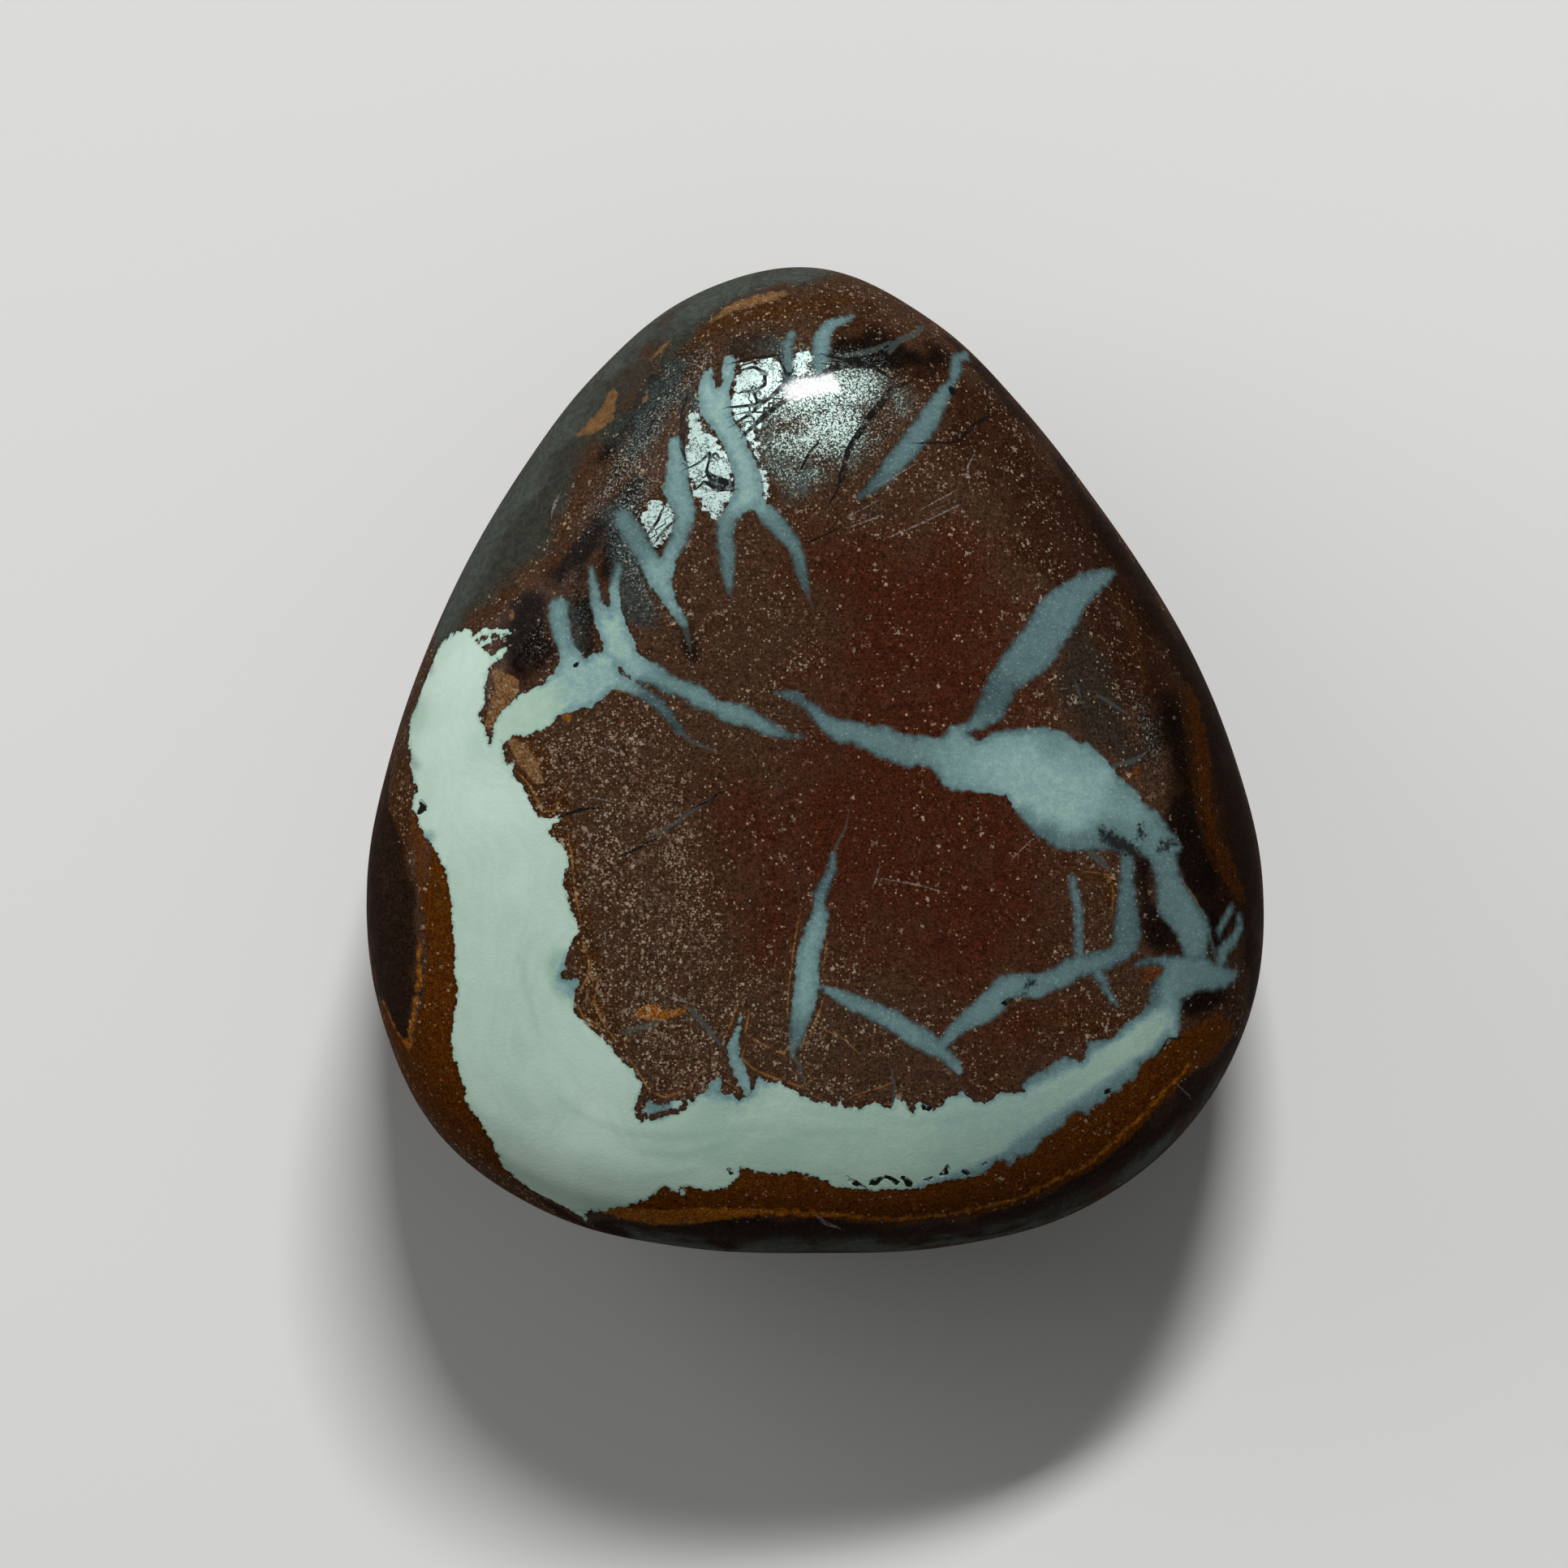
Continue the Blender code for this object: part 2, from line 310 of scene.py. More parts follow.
# Thin ochre threads in the ironstone, along the opal.
THREADS = (
    ((641, 955, 2), (653, 968, 3), (661, 985, 4), (668, 1000, 3), (684, 999, 3), (690, 985, 4),
     (698, 966, 3)),
    ((700, 1032, 2), (704, 1052, 4), (707, 1078, 3), (709, 1102, 4), (715, 1130, 3)),
    ((718, 1160, 3), (727, 1182, 5), (726, 1202, 5), (716, 1218, 3)),
    ((737, 1208, 3), (731, 1232, 4), (738, 1250, 4), (748, 1268, 3), (762, 1286, 2)),
    ((712, 1238, 2), (718, 1252, 3), (732, 1266, 3)),
    ((776, 1306, 2), (788, 1322, 3), (799, 1343, 3), (818, 1352, 4), (838, 1346, 4), (852, 1338, 3),
     (866, 1318, 2)),
    ((910, 1238, 2), (902, 1258, 3), (892, 1280, 3)),
    ((922, 1252, 3), (918, 1274, 4), (943, 1289, 4), (966, 1298, 5), (974, 1286, 3)),
    ((918, 1292, 3), (913, 1303, 3), (927, 1316, 3), (950, 1327, 4), (975, 1335, 4), (996, 1342, 3)),
    ((980, 1306, 2), (988, 1314, 3), (1000, 1330, 2)),
    ((990, 1284, 3), (1000, 1272, 4), (1008, 1250, 4), (1013, 1236, 2)),
    ((984, 1132, 2), (979, 1160, 3), (975, 1190, 3), (972, 1216, 2), (970, 1250, 3)),
    ((1014, 1140, 2), (1018, 1165, 3), (1015, 1195, 3)),
    ((892, 1330, 2), (907, 1341, 3)),
    ((1340, 1074, 2), (1366, 1078, 3), (1372, 1100, 3), (1370, 1122, 2)),
    ((1455, 1082, 2), (1470, 1104, 3), (1484, 1128, 2)),
    ((1015, 1268, 2), (1040, 1280, 3), (1060, 1300, 2)),
    ((1050, 1350, 2), (1085, 1340, 3), (1108, 1330, 2)),
)

# The ochre bands inside the rim. Their inner sides run under the mint band.
OCHRE_OUTLINES = (
    ((504, 984), (509, 1040), (522, 1130), (526, 1185), (522, 1225), (505, 1296), (499, 1330), (516, 1374),
     (600, 1440), (660, 1440), (620, 1200), (600, 1040), (540, 980)),
    ((745, 1480), (765, 1502), (800, 1509), (850, 1507), (950, 1499), (1100, 1509), (1200, 1499),
     (1250, 1486), (1300, 1465), (1340, 1444), (1380, 1416), (1410, 1385), (1440, 1350), (1470, 1320),
     (1500, 1300), (1530, 1268), (1500, 1250), (1462, 1270), (1400, 1310), (1300, 1370), (1200, 1420),
     (1000, 1430), (850, 1430)),
    ((1462, 840), (1476, 862), (1486, 900), (1491, 940), (1492, 980), (1502, 1030), (1520, 1062),
     (1538, 1110), (1524, 1110), (1502, 1072), (1486, 1030), (1478, 980), (1472, 920), (1464, 880)),
)
OCHRE_LINES = (
    ((735, 1486, 6), (765, 1494, 14), (810, 1500, 18), (860, 1498, 18), (930, 1493, 8), (1020, 1496, 4),
     (1100, 1503, 4), (1180, 1495, 3), (1250, 1479, 4), (1345, 1432, 4), (1410, 1373, 4), (1465, 1312, 2)),
    ((516, 1160, 3), (517, 1210, 5), (508, 1262, 5), (500, 1310, 8)),
    ((786, 1250, 8), (800, 1247, 17), (815, 1251, 15), (830, 1249, 9), (845, 1243, 5)),
    ((690, 877, 6), (700, 884, 9)),
)
# Small rusty patches.
RUST_STROKES = (
    ((1408, 1206, 6), (1420, 1199, 19), (1430, 1193, 10)),
    ((1390, 959, 4), (1400, 952, 9), (1408, 946, 5)),
    ((840, 674, 7), (845, 668, 8)),
)
# Brown-ochre, tan and dark ironstone.
BROWN_OCHRE_STROKES = (
    ((1372, 728, 8), (1392, 765, 14), (1406, 805, 18), (1408, 850, 12)),
    ((845, 428, 8), (880, 402, 18), (915, 386, 22), (955, 378, 22), (1000, 376, 16), (1045, 370, 12)),
    ((620, 735, 14), (650, 714, 22), (680, 690, 24), (700, 655, 24), (726, 628, 18), (762, 598, 14),
     (800, 560, 10), (850, 500, 6)),
    ((1272, 1256, 10), (1290, 1250, 18), (1330, 1262, 20), (1380, 1255, 14)),
    ((1340, 1080, 14), (1365, 1080, 16), (1368, 1110, 10)),
    ((640, 905, 20), (660, 950, 50), (690, 1010, 40), (712, 1100, 24), (726, 1190, 36), (735, 1240, 40),
     (770, 1290, 20)),
    ((462, 1085, 10), (470, 1120, 14), (478, 1180, 12)),
    ((494, 940, 14), (492, 990, 20), (500, 1050, 16)),
    ((1436, 780, 14), (1462, 840, 24), (1478, 900, 30), (1484, 970, 28), (1498, 1040, 26), (1522, 1090, 20),
     (1534, 1120, 8)),
)
TAN_STROKES = (
    ((612, 832, 14), (626, 846, 26), (616, 866, 24), (604, 892, 12)),
    ((630, 912, 8), (640, 924, 18), (652, 940, 22), (664, 962, 10)),
    ((752, 850, 4), (770, 850, 7)),
    ((715, 536, 6), (730, 526, 16), (746, 512, 20), (756, 484, 10)),
    ((876, 396, 3), (900, 380, 9), (930, 370, 12), (965, 362, 9)),
    ((800, 446, 1), (814, 430, 4), (828, 418, 1)),
    ((794, 494, 5), (797, 484, 5)),
    ((856, 549, 4), (861, 547, 4)),
    ((630, 755, 5), (631, 760, 6)),
    ((1349, 858, 3), (1352, 858, 4)),
    ((792, 582, 3), (796, 580, 3)),
)
DARK_STROKES = (
    ((655, 752, 50), (652, 795, 62), (640, 832, 30)),
    ((712, 690, 30), (717, 755, 34), (724, 795, 16)),
    ((772, 600, 30), (760, 655, 44), (745, 705, 34)),
    ((812, 640, 24), (800, 690, 20)),
    ((690, 706, 46), (716, 680, 44), (738, 650, 34)),
    ((844, 776, 12), (852, 806, 8)),
    ((1440, 860, 20), (1448, 930, 34), (1462, 1030, 44), (1484, 1110, 54), (1500, 1160, 36)),
    ((1408, 1050, 12), (1411, 1110, 16), (1425, 1160, 36)),
    ((1475, 1240, 40), (1500, 1215, 20)),
    ((1440, 1190, 10), (1400, 1182, 10)),
    ((720, 590, 8), (760, 540, 14), (792, 500, 16), (806, 470, 8)),
    ((1035, 425, 20), (1070, 425, 34), (1110, 440, 44), (1150, 440, 30)),
)
# The dark outer rim, past the ochre bands.
OUTER_RIM_STROKES = (
    ((458, 960, 4), (464, 1030, 52), (472, 1100, 78), (480, 1200, 72), (486, 1262, 36), (490, 1340, 6)),
    ((600, 1462, 24), (660, 1500, 26), (720, 1530, 60), (800, 1532, 44), (900, 1534, 60), (1000, 1540, 76),
     (1100, 1546, 72), (1200, 1536, 70), (1300, 1512, 78), (1375, 1470, 92), (1440, 1410, 100),
     (1500, 1345, 76), (1540, 1290, 40)),
    ((1180, 400, 40), (1290, 520, 44), (1466, 790, 60), (1520, 900, 68), (1534, 980, 70), (1552, 1080, 44),
     (1560, 1180, 50)),
)
# Dark reddish brown, from the top down the right side.
UMBER_STROKES = (
    ((1020, 385, 20), (1090, 425, 60), (1160, 455, 70), (1220, 520, 90), (1300, 640, 120), (1380, 760, 110),
     (1440, 880, 90), (1500, 1000, 110), (1540, 1120, 80)),
    ((1440, 1160, 50), (1500, 1240, 60)),
)
# Painted shade over the margin at the right, which makes it darker than its colours alone.
PAINTED_SHADE_STROKES = (
    ((1300, 560, 10), (1360, 660, 40), (1460, 840, 100), (1502, 940, 120), (1526, 1060, 130),
     (1545, 1180, 70), (1555, 1260, 10)),
)
# Grey-brown and red-brown ironstone, and where pale specks lie dense.
ASHEN_STROKES = (
    ((1325, 775, 26), (1335, 830, 60), (1350, 890, 60), (1390, 930, 30)),
    ((850, 430, 20), (800, 520, 34), (770, 590, 34), (720, 650, 20)),
    ((905, 425, 24), (950, 425, 24)),
    ((1408, 880, 16), (1424, 930, 20)),
)
MAROON_STROKES = (
    ((1010, 690, 60), (1150, 760, 200), (1120, 1000, 330), (1190, 1110, 240)),
    ((920, 1000, 80), (960, 1130, 90)),
    ((1290, 1240, 50), (1230, 1290, 60)),
)
DENSE_SPECK_STROKES = (
    ((740, 960, 130), (780, 1100, 170), (800, 1250, 150), (850, 1300, 90)),
    ((950, 1240, 40), (1000, 1310, 50)),
)
# Where pale grains give the dark stone a frosty look.
FROST_STROKES = (
    ((668, 770, 16), (660, 800, 26)),
    ((706, 710, 14), (720, 770, 14)),
    ((786, 560, 46), (770, 620, 40), (755, 670, 26)),
    ((870, 440, 34), (820, 500, 38), (780, 560, 50), (740, 620, 30), (716, 660, 10)),
    ((790, 600, 40), (770, 680, 44), (800, 750, 20)),
    ((1394, 846, 10), (1408, 880, 24), (1424, 930, 24), (1430, 960, 10)),
)
# Where the opal under the surface gives the stone a smoky blue tint.
SMOKE_STROKES = (
    ((762, 636, 26), (770, 690, 40), (778, 740, 44), (796, 764, 20)),
    ((850, 480, 14), (862, 540, 14)),
    ((700, 720, 10), (712, 790, 16)),
    ((830, 460, 20), (800, 510, 30), (775, 550, 20)),
)
# The outer side of the worn facet at the upper left, and the lower rim: both show no grain, and their
# grey-green colour is a painted reflection.
PAINTED_REFLECTION_OUTLINES = (
    ((556, 792), (590, 745), (632, 712), (661, 684), (699, 603), (729, 557), (761, 523), (785, 486),
     (802, 449), (832, 423), (861, 402), (912, 370), (950, 355), (990, 350), (1030, 330), (1050, 280),
     (880, 270), (650, 400), (490, 680), (510, 800)),
    ((730, 1524), (850, 1534), (1000, 1537), (1150, 1532), (1280, 1504), (1390, 1446), (1480, 1370),
     (1540, 1290), (1580, 1320), (1500, 1420), (1400, 1500), (1250, 1580), (1000, 1590), (740, 1570)),
)
# Plates of silvery, polished iron oxide round the highlight. Their pale colour is partly the oxide's own
# and partly a painted highlight.
PLATE_OUTLINES = (
    ((912, 452), (926, 446), (952, 442), (962, 452), (968, 472), (960, 488), (948, 500), (930, 531),
     (914, 528), (906, 514), (901, 498), (909, 464)),
    ((852, 536), (868, 530), (880, 536), (886, 549), (898, 560), (905, 606), (898, 622), (885, 640),
     (870, 630), (860, 612), (839, 560), (844, 548)),
    ((796, 628), (804, 612), (836, 633), (830, 650), (818, 666), (806, 676), (790, 640)),
    ((850, 540), (846, 522), (851, 505), (857, 512), (863, 530), (860, 540)),
    ((914, 526), (927, 530), (952, 614), (944, 613), (935, 572), (926, 550)),
    ((978, 440), (988, 430), (998, 436), (995, 456), (984, 466), (978, 462)),
)
# A painted sheen round the highlight, where finer silvery speckle also lies between the plates.
HIGHLIGHT_SHEEN_STROKES = (
    ((950, 505, 50), (1000, 488, 90), (1060, 475, 70)),
    ((955, 545, 40), (985, 545, 60), (1030, 525, 90)),
    ((950, 575, 16), (975, 590, 18), (1010, 580, 16)),
    ((1095, 470, 10), (1110, 500, 10), (1070, 560, 0)),
    ((960, 435, 10), (1010, 440, 10)),
    ((860, 505, 10), (868, 528, 10)),
)

# How milky the opal is, from clear blue at 0 to mint at 1, round given places: place, reach, milkiness.
MILK_SPOTS = (
    (560, 850, 60, 0.985), (590, 1000, 70, 0.97), (630, 1150, 80, 0.93), (640, 1300, 70, 0.945),
    (700, 1400, 60, 0.945), (800, 1420, 60, 0.93), (950, 1395, 60, 0.89), (1100, 1405, 60, 0.875),
    (1200, 1395, 50, 0.86), (1290, 1345, 40, 0.83), (1370, 1300, 36, 0.855), (1428, 1258, 22, 0.86),
    (1460, 1200, 34, 0.44), (1440, 1220, 16, 0.5), (650, 880, 28, 0.9), (720, 840, 36, 0.76),
    (762, 785, 18, 0.79), (690, 770, 22, 0.52), (860, 855, 36, 0.55), (930, 880, 24, 0.5),
    (972, 903, 14, 0.35), (985, 860, 16, 0.25), (1030, 895, 24, 0.44), (1100, 920, 36, 0.44),
    (1180, 930, 30, 0.6), (1235, 930, 24, 0.77), (1325, 980, 44, 0.78), (1400, 990, 24, 0.6),
    (1425, 1020, 18, 0.42), (1370, 1035, 16, 0.3), (1440, 1085, 20, 0.4), (1470, 1140, 26, 0.42),
    (1300, 770, 36, 0.36), (1265, 820, 20, 0.4), (1225, 870, 24, 0.2), (1390, 1080, 22, 0.32),
    (1390, 1140, 26, 0.28), (1340, 1190, 24, 0.4), (1270, 1215, 30, 0.46), (1200, 1245, 30, 0.48),
    (1160, 1290, 20, 0.42), (1110, 1260, 24, 0.51), (1050, 1235, 24, 0.5), (1022, 1080, 20, 0.38),
    (1002, 1160, 24, 0.62), (992, 1220, 26, 0.66), (980, 1280, 18, 0.36), (1150, 505, 26, 0.42),
    (1110, 560, 28, 0.4), (1072, 603, 16, 0.2), (880, 500, 24, 0.74), (920, 590, 30, 0.77),
    (895, 675, 22, 0.4), (970, 665, 22, 0.4), (990, 720, 14, 0.25), (835, 590, 28, 0.64),
    (815, 710, 18, 0.7), (780, 660, 20, 0.4), (1015, 415, 16, 0.55), (970, 440, 12, 0.4),
    (905, 1310, 24, 0.66), (1328, 1120, 26, 0.42), (1362, 1215, 14, 0.4), (1262, 1010, 7, 0.5),
    (1290, 1032, 9, 0.28), (1320, 1042, 8, 0.36), (1345, 1040, 8, 0.3), (1300, 908, 12, 0.55),
    (1340, 930, 12, 0.6), (1385, 975, 10, 0.5), (806, 866, 12, 0.25), (830, 892, 12, 0.1),
    (810, 1362, 7, 0.6), (701, 1208, 9, 0.7), (692, 1190, 8, 0.8), (529, 1031, 3, 0.8),
    (885, 1340, 6, 0.74), (510, 880, 10, 0.9), (545, 790, 14, 0.95),
)
# The milky lobe where the band meets the upper left vein.
LOBE_OUTLINE = (
    (604, 905), (612, 885), (630, 866), (650, 856), (666, 852), (676, 862), (672, 873), (684, 880),
    (676, 893), (660, 901), (640, 906), (610, 918),
)
LOBE_MILK = 0.88

# The milky heart of the band at the lower right, past a place where the margins turn blue.
MILKY_HEART = (
    (1080, 1408, 110), (1150, 1400, 96), (1210, 1388, 76), (1256, 1370, 46), (1290, 1354, 34),
    (1330, 1331, 28), (1405, 1280, 28), (1430, 1257, 20), (1443, 1236, 4),
)
CLEAR_MARGIN_START = 1180
CLEAR_MARGIN_LOSS = 0.3  # how much less milky the margins are
BACK_MILK = (0.3, 0.6)  # the milkiness at the edge of a vein of the back, and the most that depth adds
BACK_MILK_DEPTH = 50  # pixels inside the edge for each whole step of milkiness

# Distances in pixels over which the milkiness changes, and the smooth zones with their painted reflection
# fade.
LOBE_FADE = 4
HEART_FADE = 7
KNOT_FADE = 6
MARGIN_FADE = 80
BAND_FADE = 3
PAINTED_REFLECTION_FADE = 32

# The back, in the same plan as the face. Bands that cross the rim go on from where the face leaves them.
BACK_OPAL_STROKES = (
    ((660, 1450, 4), (690, 1420, 60), (730, 1360, 110), (830, 1230, 96), (950, 1120, 60), (1070, 1060, 34),
     (1180, 1020, 12)),
    ((1430, 700, 14), (1360, 690, 18), (1270, 660, 22), (1180, 640, 18), (1100, 600, 6)),
    ((1580, 1202, 22), (1500, 1195, 26), (1400, 1160, 30), (1300, 1180, 22), (1220, 1230, 8)),
    ((1205, 420, 12), (1170, 480, 16), (1150, 580, 10), (1130, 640, 4)),
    ((830, 1230, 40), (900, 1310, 26), (1000, 1350, 20), (1110, 1330, 8)),
    ((860, 600, 8), (900, 680, 26), (960, 760, 32), (1060, 820, 26), (1150, 830, 8)),
    ((960, 760, 20), (930, 850, 22), (940, 940, 8)),
)
BACK_RING = 0.80  # where the ochre ring lies on the back, as a share of the rim's radius
BACK_RING_WIDTH = 0.16
RING_RADIUS = 13.0

# Towards the rim and past it. Shares are shares of the rim's radius, heights are in mm.
FACE_FADE = 0.5  # the face's pattern ends this far below the widest level and fades as far on both sides
RIM_BELT = 0.4  # points this close to the widest level tell the rim's radius
WORN_RIM = 0.88  # the share where the polish of the face begins to wear off
# From this share on, the smooth zones carry a paler painted reflection.
PAINTED_EDGE_REFLECTION_RIM = 0.955  # the share where the smooth facet turns hazy
ZONES_END = 7.5  # about the height where the zones of the face give way to plain ironstone
ZONES_FADE = 3.4
SIDE_UMBER = 0.6  # how strongly the umber and the dark rim colour the sides
SIDE_RIM = 0.6
DARK_BACK = BACK_RING + 0.1  # the share where the dark rim begins on the back
SHARE_FADE = 0.05
WORN_FADE = 0.06

# The pattern wanders on its way down the sides: from which share on, and how far in pixels.
WALL_MIDDLE = 0.988
WALL_FADE = 0.018
OUTWARD_WANDER = 50.0
SIDEWAYS_WANDER = 90.0

# Slow noise: how many swells per mm, and what sets its layers and kinds apart.
SLOW_CLOUDS_PER_MM = 0.35
OUTWARD_CLOUDS_PER_MM = 0.3
SIDEWAYS_CLOUDS_PER_MM = 0.25
MOTTLE_PER_MM = 0.9
CLOUD_STRENGTH = 1.6
CLOUD_OFFSET = 50.0
LAYER_SHIFT = 11.3

# The mesh: the spacing of its points, which grows past the rim, and how the solid's facets are rounded.
FACE_SPACING = 0.105
BACK_SPACING = 0.3
COARSER_FROM = 0.3
COARSER_OVER = 2.0
RING_GAP = 0.87  # the gap between two rings, as a share of the spacing
PROFILE_STEPS = 720
PROFILE_SIDES = 12
SAME_PLACE = 1e-4
ROUNDING = 0.75  # from 0 for flat facets to 1 for the curve that their normals ask for
SMOOTHING_ROUNDS = 6

LINE_REACH = 1.3 * FACE_SPACING / MM_PER_PIXEL  # how far past a thin line its width is kept, in pixels
FAR_OUTSIDE = 20.0  # pixels: this far from a shape, nothing of it shows
FAINTEST = 1e-9  # keeps a place far from every milk spot from dividing by nothing

THIN_LINES = {"crack": CRACKS, "scratch": SCRATCHES, "faint": FAINT_VEINS, "thread": THREADS}

# The soft zones of the stone, each with the distance in pixels over which it fades.
SOFT_STROKES = {
    "ochre_line": (OCHRE_LINES, 6),
    "brown_ochre": (BROWN_OCHRE_STROKES, 12),
    "tan": (TAN_STROKES, 6),
    "dark": (DARK_STROKES, 26),
    "rim": (OUTER_RIM_STROKES, 12),
    "umber": (UMBER_STROKES, 60),
    # painted shade at the right margin
    "right_shade": (PAINTED_SHADE_STROKES, 50),
    "ashen": (ASHEN_STROKES, 24),
    "maroon": (MAROON_STROKES, 80),
    "dense": (DENSE_SPECK_STROKES, 50),
    "frost": (FROST_STROKES, 20),
    "smoke": (SMOKE_STROKES, 30),
    "rust": (RUST_STROKES, 6),
    "fold": (FOLD_STROKES, 9),
    "smudge": (SMUDGE_STROKES, 9),
    # painted sheen round the highlight
    "painted_highlight_sheen": (HIGHLIGHT_SHEEN_STROKES, 60),
}


def colour(red, green, blue):
    return (red, green, blue, 1.0)


# The opal's colours, by its milkiness.
OPAL_COLOURS = (
    (0.0, colour(0.018, 0.034, 0.036)),
    (0.25, colour(0.060, 0.105, 0.110)),
    (0.5, colour(0.113, 0.192, 0.192)),
    (0.65, colour(0.160, 0.270, 0.265)),
    (0.75, colour(0.207, 0.330, 0.320)),
    (0.87, colour(0.303, 0.438, 0.352)),
    (1.0, colour(0.470, 0.600, 0.520)),
)
SMUDGE = colour(0.11, 0.15, 0.14)
GLINT = colour(0.55, 0.62, 0.62)
GAP = colour(0.0105, 0.0115, 0.010)
BROWN = colour(0.048, 0.0235, 0.0125)
MAROON = colour(0.046, 0.0115, 0.0045)
DARK = colour(0.0065, 0.004, 0.003)
# painted shade, laid over the right margin
PAINTED_SHADE = colour(0.003, 0.001, 0.0003)
OCHRE = colour(0.066, 0.0185, 0.0015)
OCHRE_LIGHT = colour(0.21, 0.070, 0.006)
TAN = colour(0.15, 0.077, 0.03)
RUST = colour(0.085, 0.026, 0.007)
THREAD = colour(0.20, 0.085, 0.02)
FROST = colour(0.10, 0.105, 0.09)
SPECK = colour(0.30, 0.235, 0.16)
FAINT = colour(0.055, 0.075, 0.072)
CRACK = colour(0.006, 0.006, 0.005)
SCRATCH = colour(0.22, 0.2, 0.18)
# pale silver: partly the oxide's own colour, partly a painted highlight
PALE_SILVER_AND_HIGHLIGHT = colour(0.50, 0.64, 0.60)
PLATE_GROUND = colour(0.10, 0.14, 0.135)

# The zones of the stone in the order that they are laid over each other, with their strength.
STONE_ZONES = (
    ("umber", colour(0.026, 0.0085, 0.0035), 0.9),
    ("ashen", colour(0.022, 0.017, 0.012), 0.85),
    # painted grey-green sheen round the highlight
    ("painted_highlight_sheen", colour(0.055, 0.078, 0.067), 0.65),
    ("dark", DARK, 0.95),
    ("smoke", colour(0.030, 0.042, 0.040), 0.75),
    ("brown_ochre", colour(0.044, 0.0155, 0.0035), 0.8),
    ("rim", colour(0.016, 0.008, 0.005), 0.95),
    # painted grey-green reflection on the smooth zones, and a paler painted reflection at their outer edge
    ("smooth", colour(0.029, 0.034, 0.028), 0.85),
    ("painted_edge_reflection", colour(0.056, 0.064, 0.056), 0.8),
)
# Small patches with ragged edges, laid over the zones.
RAGGED_PATCHES = (("ochre_line", OCHRE_LIGHT), ("tan", TAN), ("rust", RUST))

# Kinds of pale specks: cells per mm, how crowded, smallest and largest radius in cells, raggedness.
SPECK_KINDS = (
    (3.2, 0.7, (0.05, 0.3), 0.8),
    (7.0, 1.0, (0.08, 0.46), 1.0),
    (14.0, 1.3, (0.2, 0.55), 0.4),
)

# How many times per mm each noise of the material swells.
RAGGED_PER_MM = 5.0
GRAIN_PER_MM = 15.0
OPAL_GRAIN_PER_MM = 11.0
GLINTS_PER_MM = 18.0
SILVER_GRAIN_PER_MM = 26.0
RELIEF_PER_MM = 12.0

# The polish: a clear coat, thinner where it is worn and weaker over the dark stone.
COAT = 0.17
WORN_COAT = 0.03
COAT_ROUGHNESS = 0.09
DARK_COAT_SHARE = 0.4
OPAL_ROUGHNESS = 0.2
STONE_ROUGHNESS = (0.42, 0.54)
OPEN_GRAIN_ROUGHNESS = 0.8
SILVER_METALLIC = 0.35
STONE_IOR = 1.5

# The relief of the polished surface, in mm.
CRACK_DEPTH = 0.03
OPAL_STEP = 0.005
GRAIN_RELIEF = 0.006

# The sockets of a colour mix, among those of Blender's mix node.
MIX_WEIGHT, MIX_FIRST, MIX_SECOND = 0, 6, 7
MIX_RESULT = 2

FLOOR_REACH = 1.5  # metres from the middle of the floor to its sides
FLOOR_COLOUR = colour(0.72, 0.72, 0.71)
FLOOR_ROUGHNESS = 0.9
STUDIO_COLOUR = colour(0.15, 0.15, 0.15)


def eye_place():
    """The point above the table that the camera looks down from, in mm."""
    across = (PHOTO_MIDDLE[0] - PEBBLE_MIDDLE[0]) * MM_PER_PIXEL
    up = (PEBBLE_MIDDLE[1] - PHOTO_MIDDLE[1]) * MM_PER_PIXEL
    return across, up


def add_camera():
    across, up = eye_place()
    data = bpy.data.cameras.new("eye")
    data.sensor_width = SENSOR_WIDTH
    data.lens = SENSOR_WIDTH * (EYE_HEIGHT - WIDEST_LEVEL) / PHOTO_WIDTH
    data.clip_start = 0.01
    data.clip_end = 10.0
    camera = bpy.data.objects.new("eye", data)
    camera.location = (across * MM, up * MM, EYE_HEIGHT * MM)
    bpy.context.scene.collection.objects.link(camera)
    bpy.context.scene.camera = camera


def to_photo(points):
    """Where the photo shows points of the pebble, in photo pixels."""
    across, up = eye_place()
    spread = (EYE_HEIGHT - WIDEST_LEVEL) / (EYE_HEIGHT - points[:, 2]) / MM_PER_PIXEL
    x = PHOTO_MIDDLE[0] + (points[:, 0] - across) * spread
    y = PHOTO_MIDDLE[1] - (points[:, 1] - up) * spread
    return np.column_stack((x, y))


def dots(first, second):
    """The dot product of each pair of vectors."""
    return np.einsum("ij,ij->i", first, second)


